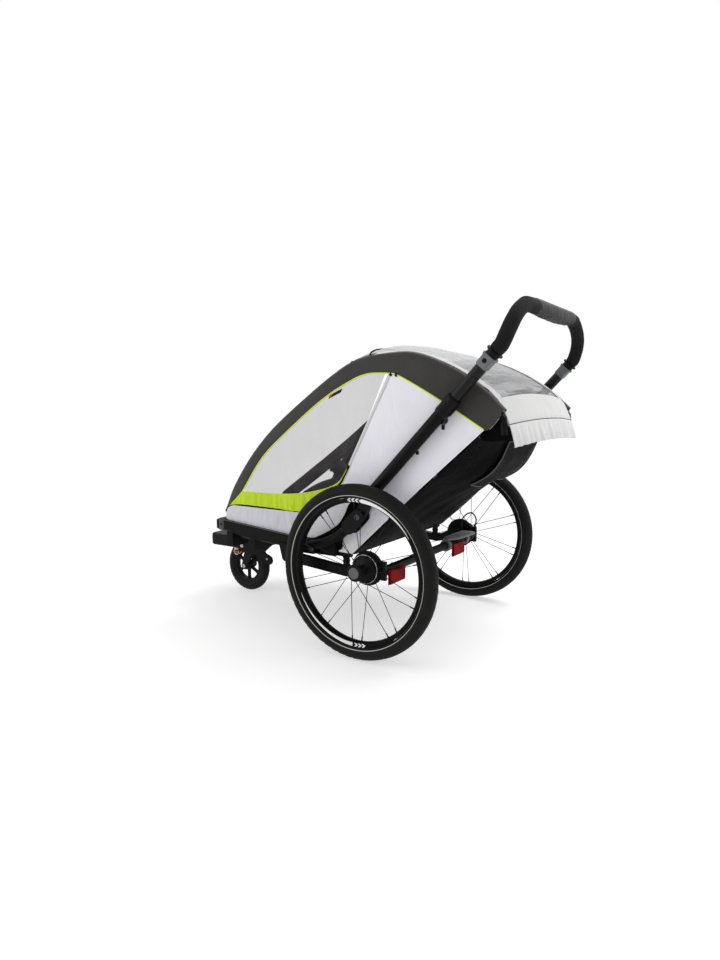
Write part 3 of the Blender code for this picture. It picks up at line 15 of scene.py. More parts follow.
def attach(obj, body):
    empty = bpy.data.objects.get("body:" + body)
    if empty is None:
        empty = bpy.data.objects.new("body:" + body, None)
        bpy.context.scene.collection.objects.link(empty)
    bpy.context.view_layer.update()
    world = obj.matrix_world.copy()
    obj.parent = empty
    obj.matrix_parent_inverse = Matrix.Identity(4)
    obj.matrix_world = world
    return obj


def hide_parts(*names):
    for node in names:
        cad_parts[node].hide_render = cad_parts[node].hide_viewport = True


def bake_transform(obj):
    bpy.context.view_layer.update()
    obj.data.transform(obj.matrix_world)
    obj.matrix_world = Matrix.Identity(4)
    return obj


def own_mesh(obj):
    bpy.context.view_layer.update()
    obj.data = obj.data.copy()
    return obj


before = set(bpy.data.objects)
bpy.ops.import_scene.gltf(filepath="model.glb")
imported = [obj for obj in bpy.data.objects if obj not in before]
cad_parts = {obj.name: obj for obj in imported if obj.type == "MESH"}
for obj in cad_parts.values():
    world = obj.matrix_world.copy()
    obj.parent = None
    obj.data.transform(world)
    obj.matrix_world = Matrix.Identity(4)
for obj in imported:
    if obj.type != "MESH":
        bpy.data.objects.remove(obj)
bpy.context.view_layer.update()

SHIFT = 0.2055
SIDES = (("left", -1), ("right", 1))

# Wheels
WHEEL_RADIUS = 0.250
WHEEL_Y = 0.376
TYRE_WIDTH = 0.047
RIM_WIDTH = 0.025
RIM_OUTER = 0.211
RIM_HOLE = 0.1965
STRIPE_RADIUS = 0.2185
SPOKE_PAIRS = 10
SPOKE_SPACING = 0.028
HUB_RADIUS = 0.016
HUB_OUTER = 0.017
HUB_INNER = 0.0475
HUB_WELL = 0.0052
OUTER_FLANGE = 0.025
INNER_FLANGE = 0.0375
DRUM_RADIUS = 0.046
CAP_RADIUS = 0.0165
CASTER_RADIUS = 0.098
CASTER_WIDTH = 0.036
CASTER_BEAD = 0.062
CASTER_X = -0.742
CASTER_SPOKES = 6
# Each section of a caster spoke: distance from the axle, half width and half depth
CASTER_SPOKE = (
    (0.013, 0.0062, 0.0085),
    (0.022, 0.0052, 0.0075),
    (0.036, 0.0046, 0.0068),
    (0.048, 0.0056, 0.0070),
    (0.0555, 0.0085, 0.0075),
)
ARM_FRONT_X = -0.748
ARM_REAR_X = -0.600
ARM_HALF_WIDTH = 0.1995
ARM_BOTTOM = 0.214
ARM_PIVOT = (-0.585, 0.228)

# Frame and seat
RAIL_OUTER = 0.317
RAIL_TOP = 0.310
SEAT_FRONT_X = -0.305
SEAT_SHELF = 0.4305
SEAT_HALF = 0.246
SEAT_DEPTH = 0.265
SEAT_PAD = 0.040
SEAT_CROWN = 0.018
BACK_FOOT = (-0.020, 0.470)
BACK_LEAN = math.radians(47.0)
BACK_LENGTH = 0.345
BACK_PAD = 0.032
BACK_CROWN = 0.014
SEAT_PLACE = 0.130
BUCKLE_X = -0.245
BOLSTER_Y = 0.2665
BOLSTER_LINE = ((-0.362, 0.411), (-0.315, 0.444), (-0.215, 0.514), (-0.100, 0.597), (0.020, 0.690), (0.062, 0.727))

# Rear axle
CROSS_BAR = (0.045, 0.245)
CROSS_BAR_RADIUS = 0.013
REFLECTOR_SIZE = (0.009, 0.090, 0.044)
REFLECTOR_TOP = 0.250
REFLECTOR_Y = {"left": 0.265, "right": 0.158}
BRAKE_PLATE_Y = 0.326
CABLE_RADIUS = 0.0025
CABLE_ROUTE = (
    (0.036, 0.261, 0.2600),
    (0.030, 0.261, 0.285),
    (0.028, 0.268, 0.306),
    (0.036, 0.284, 0.323),
    (0.050, 0.298, 0.330),
    (0.060, 0.306, 0.320),
    (0.063, 0.313, 0.307),
    (0.061, 0.319, 0.296),
    (0.056, 0.3205, 0.2770),
)

# Push frame and handle
PUSH_Y = 0.328
PUSH_PIVOT = (-0.020, 0.400)
TUBE_FOOT = Vector((0.000, 0.0, 0.450))
TUBE_ANGLE = math.radians(46.7)
TUBE_AHEAD = Vector((math.cos(TUBE_ANGLE), 0.0, math.sin(TUBE_ANGLE)))
TUBE_ACROSS = Vector((math.sin(TUBE_ANGLE), 0.0, -math.cos(TUBE_ANGLE)))
TUBE_RADIUS = 0.0175
TUBE_LENGTH = 0.385
INNER_RADIUS = 0.015
INNER_START = 0.150
COLLAR_START = 0.333
CLAMP_START = 0.494
HANDLE_START = 0.532
HANDLE_RADIUS = 0.0125
FOAM_RADIUS = 0.020
CROSSBAR_X = 0.409
HANDLE_BEND = (
    (0.3890, 0.3220, 0.866),
    (0.3970, 0.3160, 0.888),
    (0.4030, 0.3050, 0.911),
    (0.4065, 0.2870, 0.933),
    (0.4080, 0.2620, 0.952),
    (CROSSBAR_X, 0.2320, 0.966),
    (CROSSBAR_X, 0.1950, 0.974),
    (CROSSBAR_X, 0.0, 0.976),
)

# Canopy: outlines in x and z, from the front to the rear
BAND_OUTER = 0.3035
ROOF_HALF = 0.2775
ROOF_BORDER = 0.026
WHITE_FROM = -0.008
FRONT_BOW_X = -0.145
REAR_BOW_X = 0.316
ROLL_X = -0.163
SKIRT_FRONT_X = -0.578
SKIRT_REAR_X = -0.2412
HOOP_EDGE = (
    (-0.5625, 0.389),
    (-0.530, 0.453),
    (-0.459, 0.549),
    (-0.364, 0.643),
    (-0.225, 0.745),
    (-0.121, 0.812),
    (-0.040, 0.847),
    (0.060, 0.859),
    (0.142, 0.854),
    (0.245, 0.814),
    (0.330, 0.760),
    (0.391, 0.706),
)
BAND_END = ((0.3885, 0.700), (0.3835, 0.689), (0.366, 0.667), (0.350, 0.652), (0.340, 0.651))
PIPING_FRONT = (
    (-0.490, 0.435),
    (-0.401, 0.551),
    (-0.290, 0.643),
    (-0.166, 0.732),
    (-0.065, 0.785),
    (-0.010, 0.802),
    (0.047, 0.803),
)
PIPING_REAR = ((0.047, 0.803), (0.091, 0.794), (0.213, 0.729), (0.338, 0.654))
STRIP_TOP = ((-0.490, 0.435), (-0.296, 0.441), (-0.181, 0.461), (-0.112, 0.489), (-0.073, 0.542))
STRIP_FOOT = (
    (-0.5635, 0.3685),
    (-0.545, 0.3850),
    (-0.500, 0.3915),
    (-0.440, 0.392),
    (-0.334, 0.391),
    (-0.255, 0.389),
    (-0.138, 0.466),
    (-0.107, 0.486),
    (-0.090, 0.512),
    (-0.073, 0.542),
)
REAR_EDGE = ((-0.066, 0.281), (0.107, 0.445), (0.338, 0.654))
ROOF_RIDGE = (
    (-0.150, 0.866),
    (-0.115, 0.883),
    (-0.078, 0.894),
    (-0.023, 0.898),
    (0.030, 0.893),
    (0.099, 0.877),
    (0.200, 0.840),
    (0.330, 0.775),
)
FLAP_DROP = ((0.3265, 0.776), (0.342, 0.763), (0.368, 0.733), (0.390, 0.690), (0.404, 0.650), (0.414, 0.614))
FLAP_HALF = 0.279
BACK_LINE = ((-0.066, 0.281), (0.020, 0.356), (0.107, 0.440), (0.220, 0.543), (0.320, 0.632), (0.376, 0.660))
BACK_HALF = 0.2965
# Painted shadow of the hinge post on the side panel: its upper and lower edges.
SHADOW_SHEET_UPPER = ((-0.205, 0.3125), (-0.160, 0.333), (-0.113, 0.362), (-0.088, 0.394), (-0.073, 0.425), (-0.058, 0.440))
SHADOW_SHEET_LOWER = ((-0.150, 0.300), (-0.100, 0.290), (-0.090, 0.325), (-0.050, 0.353), (-0.009, 0.384), (-0.018, 0.428))
RAIL_TOP_RISE = ((-0.600, 0.0275), (-0.557, 0.0265), (-0.448, 0.0175), (-0.292, 0.0045), (-0.200, 0.0))
RAIL_FOOT_RISE = ((-0.600, 0.0360), (-0.557, 0.0340), (-0.470, 0.0165), (-0.297, 0.0080), (-0.200, 0.0))
SKIRT_TOP = ((-0.582, 0.362), (-0.565, 0.3665), (-0.544, 0.382), (-0.526, 0.3878))
BAND_TIP = (-0.5660, 0.3665)


# Node groups


def group_of(name, inputs, outputs):
    """Empty node group: inputs are (name, kind, value), outputs (name, kind)."""
    tree = bpy.data.node_groups.new(name, "ShaderNodeTree")
    kinds = {"value": "NodeSocketFloat", "colour": "NodeSocketColor", "vector": "NodeSocketVector"}
    for label, kind, value in inputs:
        socket = tree.interface.new_socket(name=label, in_out="INPUT", socket_type=kinds[kind])
        socket.default_value = value
    for label, kind in outputs:
        tree.interface.new_socket(name=label, in_out="OUTPUT", socket_type=kinds[kind])
    return tree, tree.nodes.new("NodeGroupInput"), tree.nodes.new("NodeGroupOutput")


def maths(tree, operation, a, b=None):
    step = tree.nodes.new("ShaderNodeMath")
    step.operation = operation
    for socket, value in zip(step.inputs, (a, b)):
        if value is None:
            continue
        if isinstance(value, (int, float)):
            socket.default_value = value
        else:
            tree.links.new(value, socket)
    return step.outputs[0]


def noise_of(tree, vector, scale, detail=3.0, distortion=0.0):
    step = tree.nodes.new("ShaderNodeTexNoise")
    step.inputs["Detail"].default_value = detail
    step.inputs["Distortion"].default_value = distortion
    tree.links.new(vector, step.inputs["Vector"])
    if isinstance(scale, (int, float)):
        step.inputs["Scale"].default_value = scale
    else:
        tree.links.new(scale, step.inputs["Scale"])
    return step.outputs["Fac"]


def between(tree, value, low, high):
    """Value stretched from low..high to 0..1 and held inside."""
    step = tree.nodes.new("ShaderNodeMapRange")
    step.inputs["From Min"].default_value = low
    step.inputs["From Max"].default_value = high
    tree.links.new(value, step.inputs["Value"])
    return step.outputs["Result"]


def blended(tree, mask, first, second):
    """Colour between two, each a socket or a colour."""
    step = tree.nodes.new("ShaderNodeMix")
    step.data_type = "RGBA"
    if isinstance(mask, (int, float)):
        step.inputs[0].default_value = mask
    else:
        tree.links.new(mask, step.inputs[0])
    for socket, colour in ((step.inputs[6], first), (step.inputs[7], second)):
        if isinstance(colour, tuple):
            socket.default_value = (*colour, 1.0)
        else:
            tree.links.new(colour, socket)
    return step.outputs[2]


def coords_of(tree):
    return tree.nodes.new("ShaderNodeTexCoord").outputs["Object"]


def axes_of(tree, vector):
    """The three parts of a vector."""
    step = tree.nodes.new("ShaderNodeSeparateXYZ")
    tree.links.new(vector, step.inputs[0])
    return step.outputs


def drawn_out(tree, vector, by):
    """Vector stretched along its axes, by a socket or by three factors."""
    step = tree.nodes.new("ShaderNodeVectorMath")
    step.operation = "MULTIPLY"
    tree.links.new(vector, step.inputs[0])
    if isinstance(by, tuple):
        step.inputs[1].default_value = by
    else:
        tree.links.new(by, step.inputs[1])
    return step.outputs[0]


def weave_group():
    """Crossing threads on whichever plane the cloth faces."""
    tree, given, result = group_of("weave", [("Threads", "value", 900.0)], [("Height", "value")])
    coords = tree.nodes.new("ShaderNodeTexCoord")
    place = axes_of(tree, coords.outputs["Object"])
    facing = axes_of(tree, coords.outputs["Normal"])
    pace = maths(tree, "MULTIPLY", given.outputs["Threads"], math.tau)
    waves = [maths(tree, "SINE", maths(tree, "MULTIPLY", place[k], pace)) for k in range(3)]
    weights = [maths(tree, "POWER", maths(tree, "ABSOLUTE", facing[k]), 2.0) for k in range(3)]
    total = 0.0
    for k in range(3):
        crossing = maths(tree, "MULTIPLY", waves[(k + 1) % 3], waves[(k + 2) % 3])
        total = maths(tree, "ADD", maths(tree, "MULTIPLY", crossing, weights[k]), total)
    height = maths(tree, "ADD", maths(tree, "MULTIPLY", total, 0.5), 0.5)
    tree.links.new(height, result.inputs["Height"])
    return tree


def mottle_group():
    """Slow and fine change of tone between two colours."""
    inputs = [("Colour", "colour", (0.5, 0.5, 0.5, 1)), ("Shade", "colour", (0.4, 0.4, 0.4, 1))]
    inputs += [("Slow", "value", 9.0), ("Fine", "value", 160.0)]
    tree, given, result = group_of("mottle", inputs, [("Colour", "colour"), ("Mask", "value")])
    coords = coords_of(tree)
    slow = between(tree, noise_of(tree, coords, given.outputs["Slow"], 2.0), 0.32, 0.68)
    fine = between(tree, noise_of(tree, coords, given.outputs["Fine"], 4.0), 0.30, 0.70)
    mask = maths(tree, "ADD", maths(tree, "MULTIPLY", slow, 0.6), maths(tree, "MULTIPLY", fine, 0.4))
    colour = blended(tree, mask, given.outputs["Colour"], given.outputs["Shade"])
    tree.links.new(colour, result.inputs["Colour"])
    tree.links.new(mask, result.inputs["Mask"])
    return tree


def creases_group():
    """Soft creases of handled cloth or film, drawn out along one way."""
    inputs = [("Scale", "value", 20.0), ("Stretch", "vector", (1.0, 1.0, 1.0))]
    tree, given, result = group_of("creases", inputs, [("Height", "value")])
    drawn = drawn_out(tree, coords_of(tree), given.outputs["Stretch"])
    broad = noise_of(tree, drawn, given.outputs["Scale"], 2.0, 0.9)
    height = maths(tree, "POWER", maths(tree, "ABSOLUTE", maths(tree, "SUBTRACT", broad, 0.5)), 0.6)
    tree.links.new(height, result.inputs["Height"])
    return tree


def grain_group():
    """Leathery grain of a moulded surface."""
    tree, given, result = group_of("grain", [("Grains", "value", 700.0)], [("Height", "value")])
    coords = coords_of(tree)
    cells = tree.nodes.new("ShaderNodeTexVoronoi")
    cells.feature = "SMOOTH_F1"
    tree.links.new(coords, cells.inputs["Vector"])
    tree.links.new(given.outputs["Grains"], cells.inputs["Scale"])
    ripple = noise_of(tree, coords, 240.0, 2.0)
    height = maths(tree, "ADD", cells.outputs["Distance"], maths(tree, "MULTIPLY", ripple, 0.5))
    tree.links.new(height, result.inputs["Height"])
    return tree


def dust_group():
    """Where fine dust settles: on upward faces, in patches."""
    tree, given, result = group_of("dust", [("Amount", "value", 0.3)], [("Mask", "value")])
    coords = tree.nodes.new("ShaderNodeTexCoord")
    upward = between(tree, axes_of(tree, coords.outputs["Normal"])[2], 0.1, 1.0)
    patches = between(tree, noise_of(tree, coords.outputs["Object"], 34.0, 5.0), 0.42, 0.75)
    mask = maths(tree, "MULTIPLY", maths(tree, "MULTIPLY", upward, patches), given.outputs["Amount"])
    tree.links.new(mask, result.inputs["Mask"])
    return tree


def scuffs_group():
    """Fine rubbed marks from handling."""
    tree, given, result = group_of("scuffs", [("Amount", "value", 0.5)], [("Mask", "value")])
    coords = coords_of(tree)
    drawn = drawn_out(tree, coords, (1.0, 0.25, 2.6))
    marks = between(tree, noise_of(tree, drawn, 230.0, 3.0), 0.66, 0.72)
    where = between(tree, noise_of(tree, coords, 14.0, 2.0), 0.5, 0.65)
    mask = maths(tree, "MULTIPLY", maths(tree, "MULTIPLY", marks, where), given.outputs["Amount"])
    tree.links.new(mask, result.inputs["Mask"])
    return tree


def shade_streaks_group():
    """Painted shade: long dark streaks across a sheet where the rear bow shows through it, from a start along X
    rearwards.
    """
    tree, given, result = group_of("shade_streaks", [("Start", "value", 0.4)], [("Mask", "value")])
    coords = coords_of(tree)
    drawn = drawn_out(tree, coords, (34.0, 3.0, 16.0))
    marks = between(tree, noise_of(tree, drawn, 1.0, 2.0, 0.6), 0.43, 0.55)
    past = maths(tree, "SUBTRACT", axes_of(tree, coords)[0], given.outputs["Start"])
    mask = maths(tree, "MULTIPLY", marks, between(tree, past, 0.0, 0.12))
    tree.links.new(mask, result.inputs["Mask"])
    return tree


GROUPS = {
    "weave": weave_group(),
    "mottle": mottle_group(),
    "creases": creases_group(),
    "grain": grain_group(),
    "dust": dust_group(),
    "scuffs": scuffs_group(),
    "shade_streaks": shade_streaks_group(),
}


# Materials


def finish_of(name, slot, roughness, metallic=0.0, **plain):
    """New material with its shader; plain sets further sockets, such as coat_weight."""
    look = bpy.data.materials.new(name)
    look.use_nodes = True
    look["slot"] = slot
    shader = look.node_tree.nodes["Principled BSDF"]
    shader.inputs["Roughness"].default_value = roughness
    shader.inputs["Metallic"].default_value = metallic
    names = {"specular": "Specular IOR Level"}
    for label, value in plain.items():
        shader.inputs[names.get(label, label.replace("_", " ").title())].default_value = value
    return look, look.node_tree, shader


def placed(tree, group, **values):
    step = tree.nodes.new("ShaderNodeGroup")
    step.node_tree = GROUPS[group]
    for label, value in values.items():
        socket = step.inputs[label.title()]
        socket.default_value = (*value, 1.0) if socket.type == "RGBA" else value
    return step


def raised(tree, shader, height, distance, strength, under=None):
    """Bump from a height, on top of another bump."""
    step = tree.nodes.new("ShaderNodeBump")
    step.inputs["Distance"].default_value = distance
    step.inputs["Strength"].default_value = strength
    tree.links.new(height, step.inputs["Height"])
    if under is not None:
        tree.links.new(under, step.inputs["Normal"])
    tree.links.new(step.outputs[0], shader.inputs["Normal"])
    return step.outputs[0]


def varied(tree, shader, mask, low, high):
    """Roughness that follows a mask."""
    step = tree.nodes.new("ShaderNodeMapRange")
    step.inputs["To Min"].default_value = low
    step.inputs["To Max"].default_value = high
    tree.links.new(mask, step.inputs["Value"])
    tree.links.new(step.outputs["Result"], shader.inputs["Roughness"])


def cloth_look(name, slot, colour, shade, roughness, threads=900.0, crease=0.5, stretch=(1, 1, 1), dust=0.0,
               **plain):
    look, tree, shader = finish_of(name, slot, roughness, **{"specular": 0.12, **plain})
    tone = placed(tree, "mottle", colour=colour, shade=shade, slow=7.0, fine=210.0)
    weave = placed(tree, "weave", threads=threads)
    colour_now = blended(tree, maths(tree, "MULTIPLY", weave.outputs["Height"], 0.25), tone.outputs["Colour"],
                         shade)
    if dust:
        mask = placed(tree, "dust", amount=dust)
        colour_now = blended(tree, mask.outputs["Mask"], colour_now, (0.33, 0.31, 0.28))
    tree.links.new(colour_now, shader.inputs["Base Color"])
    varied(tree, shader, tone.outputs["Mask"], roughness - 0.06, min(1.0, roughness + 0.06))
    folds = placed(tree, "creases", scale=16.0, stretch=stretch)
    first = raised(tree, shader, folds.outputs["Height"], 0.004, crease)
    raised(tree, shader, weave.outputs["Height"], 0.0004, 0.5, first)
    return look


def moulded_look(name, slot, colour, roughness, grains=700.0, dust=0.25, wear=0.3, **plain):
    look, tree, shader = finish_of(name, slot, roughness, **{"specular": 0.08, **plain})
    shade = tuple(0.78 * c for c in colour)
    pale = tuple(min(0.8, 1.8 * c + 0.008) for c in colour)
    tone = placed(tree, "mottle", colour=colour, shade=shade, slow=12.0, fine=240.0)
    grain = placed(tree, "grain", grains=grains)
    marks = placed(tree, "scuffs", amount=wear)
    settled = placed(tree, "dust", amount=dust)
    worn = blended(tree, marks.outputs["Mask"], tone.outputs["Colour"], pale)
    tree.links.new(blended(tree, settled.outputs["Mask"], worn, (0.06, 0.057, 0.052)), shader.inputs["Base Color"])
    varied(tree, shader, tone.outputs["Mask"], roughness - 0.08, roughness + 0.08)
    raised(tree, shader, grain.outputs["Height"], 0.0005, 0.35)
    return look


def painted_look(name, slot, colour, roughness, wear=0.35, **plain):
    """Powder coat: slight orange peel, with rubbed marks."""
    look, tree, shader = finish_of(name, slot, roughness, **{"specular": 0.06, **plain})
    tone = placed(tree, "mottle", colour=colour, shade=tuple(0.8 * c for c in colour), slow=10.0, fine=300.0)
    marks = placed(tree, "scuffs", amount=wear)
    settled = placed(tree, "dust", amount=0.2)
    worn = blended(tree, marks.outputs["Mask"], tone.outputs["Colour"], (0.035, 0.035, 0.037))
    tree.links.new(blended(tree, settled.outputs["Mask"], worn, (0.04, 0.038, 0.035)), shader.inputs["Base Color"])
    varied(tree, shader, tone.outputs["Mask"], roughness - 0.06, roughness + 0.08)
    raised(tree, shader, noise_of(tree, coords_of(tree), 420.0, 2.0), 0.0003, 0.25)
    return look


def metal_look(name, slot, colour, roughness):
    look, tree, shader = finish_of(name, slot, roughness, 1.0)
    tone = placed(tree, "mottle", colour=colour, shade=tuple(0.72 * c for c in colour), slow=30.0, fine=500.0)
    marks = placed(tree, "scuffs", amount=0.6)
    tree.links.new(
        blended(tree, marks.outputs["Mask"], tone.outputs["Colour"], tuple(0.5 * c for c in colour)),
        shader.inputs["Base Color"],
    )
    varied(tree, shader, tone.outputs["Mask"], roughness - 0.08, roughness + 0.12)
    return look


def film_look(name, slot, colour, clear, hazy, streak, streaks_to=0.35, specular=0.5, shade_streaks_from=None):
    """Clear sheet with haze, ripples and streaks; Alpha carries how much it hides."""
    look, tree, shader = finish_of(name, slot, 0.12, specular=specular)
    haze = placed(tree, "mottle", colour=colour, shade=tuple(0.86 * c for c in colour), slow=5.0, fine=60.0)
    folds = placed(tree, "creases", scale=11.0, stretch=streak)
    varied(tree, shader, haze.outputs["Mask"], 0.10, 0.24)
    hidden = maths(tree, "ADD", clear, maths(tree, "MULTIPLY", haze.outputs["Mask"], hazy - clear))
    lines = between(tree, folds.outputs["Height"], 0.45, 0.0)
    hidden = maths(tree, "MINIMUM", maths(tree, "ADD", hidden, maths(tree, "MULTIPLY", lines, streaks_to)), 0.95)
    tone = haze.outputs["Colour"]
    # Painted shade: dark streaks towards the rear where the rear bow shows through the sheet.
    if shade_streaks_from is not None:
        marks = placed(tree, "shade_streaks", start=shade_streaks_from)
        hidden = maths(tree, "MAXIMUM", hidden, maths(tree, "MULTIPLY", marks.outputs["Mask"], 0.80))
        tone = blended(tree, marks.outputs["Mask"], tone, (0.035, 0.035, 0.038))
    tree.links.new(tone, shader.inputs["Base Color"])
    tree.links.new(hidden, shader.inputs["Alpha"])
    raised(tree, shader, folds.outputs["Height"], 0.003, 0.22)
    return look


def tyre_look(name, axle_x, axle_z, stripe):
    """Tyre rubber: dusty tread, fine rings on the walls and, if given, a reflective stripe."""
    look, tree, shader = finish_of(name, "rubber", 0.62, specular=0.07)
    coords = coords_of(tree)
    place = axes_of(tree, coords)
    along = maths(tree, "POWER", maths(tree, "SUBTRACT", place[0], axle_x), 2.0)
    up = maths(tree, "POWER", maths(tree, "SUBTRACT", place[2], axle_z), 2.0)
    radius = maths(tree, "SQRT", maths(tree, "ADD", along, up))
    tone = placed(tree, "mottle", colour=(0.0075, 0.0075, 0.0078), shade=(0.0125, 0.0122, 0.0118), slow=16.0,
                  fine=260.0)
    colour = tone.outputs["Colour"]
    if stripe:
        away = maths(tree, "ABSOLUTE", maths(tree, "SUBTRACT", radius, stripe))
        colour = blended(tree, between(tree, away, 0.0011, 0.0007), colour, (0.46, 0.44, 0.40))
    tread = between(tree, radius, axle_z - 0.007, axle_z - 0.001)
    speck = between(tree, noise_of(tree, coords, 120.0, 5.0), 0.45, 0.7)
    worn = maths(tree, "MULTIPLY", maths(tree, "MULTIPLY", tread, speck), 0.55)
    tree.links.new(blended(tree, worn, colour, (0.022, 0.021, 0.019)), shader.inputs["Base Color"])
    varied(tree, shader, tone.outputs["Mask"], 0.52, 0.72)
    rings = maths(tree, "SINE", maths(tree, "MULTIPLY", radius, 3600.0))
    first = raised(tree, shader, rings, 0.0002, 0.15)
    raised(tree, shader, noise_of(tree, coords, 500.0, 3.0), 0.0004, 0.3, first)
    return look


def lens_look():
    """Red reflector: prism grid with a darker slanted field."""
    look, tree, shader = finish_of("red_reflector", "red_lens", 0.45, specular=0.03)
    place = axes_of(tree, coords_of(tree))
    across, up = (maths(tree, "ABSOLUTE", maths(tree, "SINE", maths(tree, "MULTIPLY", place[k], 900.0)))
                  for k in (1, 2))
    prisms = maths(tree, "MULTIPLY", across, up)
    slant = maths(tree, "ADD", maths(tree, "MULTIPLY", place[1], 60.0), maths(tree, "MULTIPLY", place[2], 95.0))
    field = between(tree, maths(tree, "SINE", slant), 0.15, 0.35)
    red = blended(tree, prisms, (0.12, 0.0004, 0.0012), (0.34, 0.0012, 0.0030))
    red = blended(tree, maths(tree, "MULTIPLY", field, 0.55), red, (0.050, 0.0003, 0.0010))
    tree.links.new(red, shader.inputs["Base Color"])
    raised(tree, shader, prisms, 0.0008, 0.25)
    return look


def mesh_look():
    """Open net of the pocket: threads hide, holes show through."""
    look, tree, shader = finish_of("pocket_net", "mesh", 0.85, specular=0.05)
    weave = placed(tree, "weave", threads=330.0)
    tone = placed(tree, "mottle", colour=(0.020, 0.020, 0.021), shade=(0.012, 0.012, 0.013), slow=15.0, fine=200.0)
    tree.links.new(tone.outputs["Colour"], shader.inputs["Base Color"])
    tree.links.new(between(tree, weave.outputs["Height"], 0.78, 0.62), shader.inputs["Alpha"])
    raised(tree, shader, weave.outputs["Height"], 0.0012, 0.7)
    return look


def foam_look():
    look, tree, shader = finish_of("grip_foam", "foam", 0.88, specular=0.12)
    tone = placed(tree, "mottle", colour=(0.0075, 0.0075, 0.008), shade=(0.013, 0.0125, 0.0125), slow=14.0,
                  fine=330.0)
    tree.links.new(tone.outputs["Colour"], shader.inputs["Base Color"])
    varied(tree, shader, tone.outputs["Mask"], 0.80, 0.95)
    cells = tree.nodes.new("ShaderNodeTexVoronoi")
    cells.inputs["Scale"].default_value = 620.0
    tree.links.new(coords_of(tree), cells.inputs["Vector"])
    raised(tree, shader, cells.outputs["Distance"], 0.0007, 0.5)
    return look


BAND_CLOTH = cloth_look("band_cloth", "band_fabric", (0.045, 0.0425, 0.040), (0.031, 0.029, 0.027), 0.62,
                        threads=760.0, crease=0.35, dust=0.06, sheen_weight=0.12, sheen_roughness=0.5)
SIDE_CLOTH = cloth_look("side_cloth", "white_fabric", (0.79, 0.78, 0.83), (0.74, 0.73, 0.79), 0.55,
                        threads=840.0, crease=0.45, stretch=(1.0, 1.0, 0.45), sheen_weight=0.1)
# Skirt: the side panel's pale cloth, painted darker as the shade on the foot of the cabin.
SKIRT_CLOTH_SHADED = cloth_look("skirt_cloth_shaded", "white_fabric", (0.56, 0.555, 0.60), (0.49, 0.485, 0.535), 0.6,
                         threads=840.0, crease=0.8, stretch=(1.6, 1.6, 0.35), sheen_weight=0.1)
# Roof cloth: off-white, painted darker as shade that offsets the overhead lamp's light on the roof and rear flap.
ROOF_CLOTH_SHADED = cloth_look("roof_cloth_shaded", "white_fabric", (0.60, 0.598, 0.595), (0.56, 0.558, 0.558), 0.55,
                        threads=840.0, crease=0.4, dust=0.05, sheen_weight=0.1)
LIME_CLOTH = cloth_look("lime_cloth", "white_fabric", (0.50, 0.66, 0.022), (0.40, 0.55, 0.016), 0.6,
                        threads=840.0, crease=0.9, stretch=(3.2, 1.0, 0.3), sheen_weight=0.1)
TRUNK_CLOTH = cloth_look("trunk_cloth", "black_fabric", (0.0026, 0.0026, 0.0029), (0.0016, 0.0016, 0.0018), 0.66,
                         threads=700.0, crease=0.9, specular=0.025)
SEAT_CLOTH = cloth_look("seat_cloth", "seat_fabric", (0.016, 0.015, 0.016), (0.010, 0.009, 0.010), 0.85,
                        threads=520.0, crease=0.4, dust=0.02, sheen_weight=0.05)
PAD_CLOTH = cloth_look("bolster_cloth", "seat_fabric", (0.010, 0.009, 0.009), (0.006, 0.0055, 0.0055), 0.85,
                       threads=640.0, crease=0.5, sheen_weight=0.04)
WEBBING = cloth_look("strap_webbing", "black_fabric", (0.010, 0.010, 0.011), (0.006, 0.006, 0.0065), 0.7,
                     threads=420.0, crease=0.15)
PIPING_LOOK = cloth_look("lime_piping", "band_fabric", (0.72, 0.80, 0.06), (0.60, 0.70, 0.05), 0.45,
                         threads=1200.0, crease=0.1)
LABEL_LOOK = cloth_look("woven_tab", "black_fabric", (0.008, 0.008, 0.009), (0.005, 0.005, 0.006), 0.6,
                        threads=1500.0)
RED_TAB = cloth_look("red_tab", "black_fabric", (0.46, 0.035, 0.02), (0.36, 0.03, 0.02), 0.6, threads=1500.0)
BINDING = cloth_look("grey_binding", "mesh", (0.11, 0.11, 0.115), (0.08, 0.08, 0.083), 0.7, threads=900.0)
WHITE_THREAD = cloth_look("pale_thread", "white_fabric", (0.72, 0.71, 0.73), (0.60, 0.59, 0.62), 0.7,
                          threads=2500.0)
GREY_THREAD = cloth_look("grey_thread", "band_fabric", (0.13, 0.125, 0.12), (0.09, 0.088, 0.085), 0.7,
                         threads=2500.0)
LEASH = cloth_look("orange_leash", "red_lens", (0.75, 0.22, 0.02), (0.60, 0.17, 0.02), 0.6, threads=1800.0)
PAD_VINYL = cloth_look("grip_vinyl", "foam", (0.0075, 0.0075, 0.008), (0.005, 0.005, 0.005), 0.40,
                       threads=300.0, crease=1.0, stretch=(1.0, 2.2, 1.0), specular=0.10)
SIDE_FILM = film_look("side_film", "clear_sheet", (0.040, 0.032, 0.038), 0.205, 0.225, (1.0, 1.0, 0.35), 0.012,
                      specular=0.3)
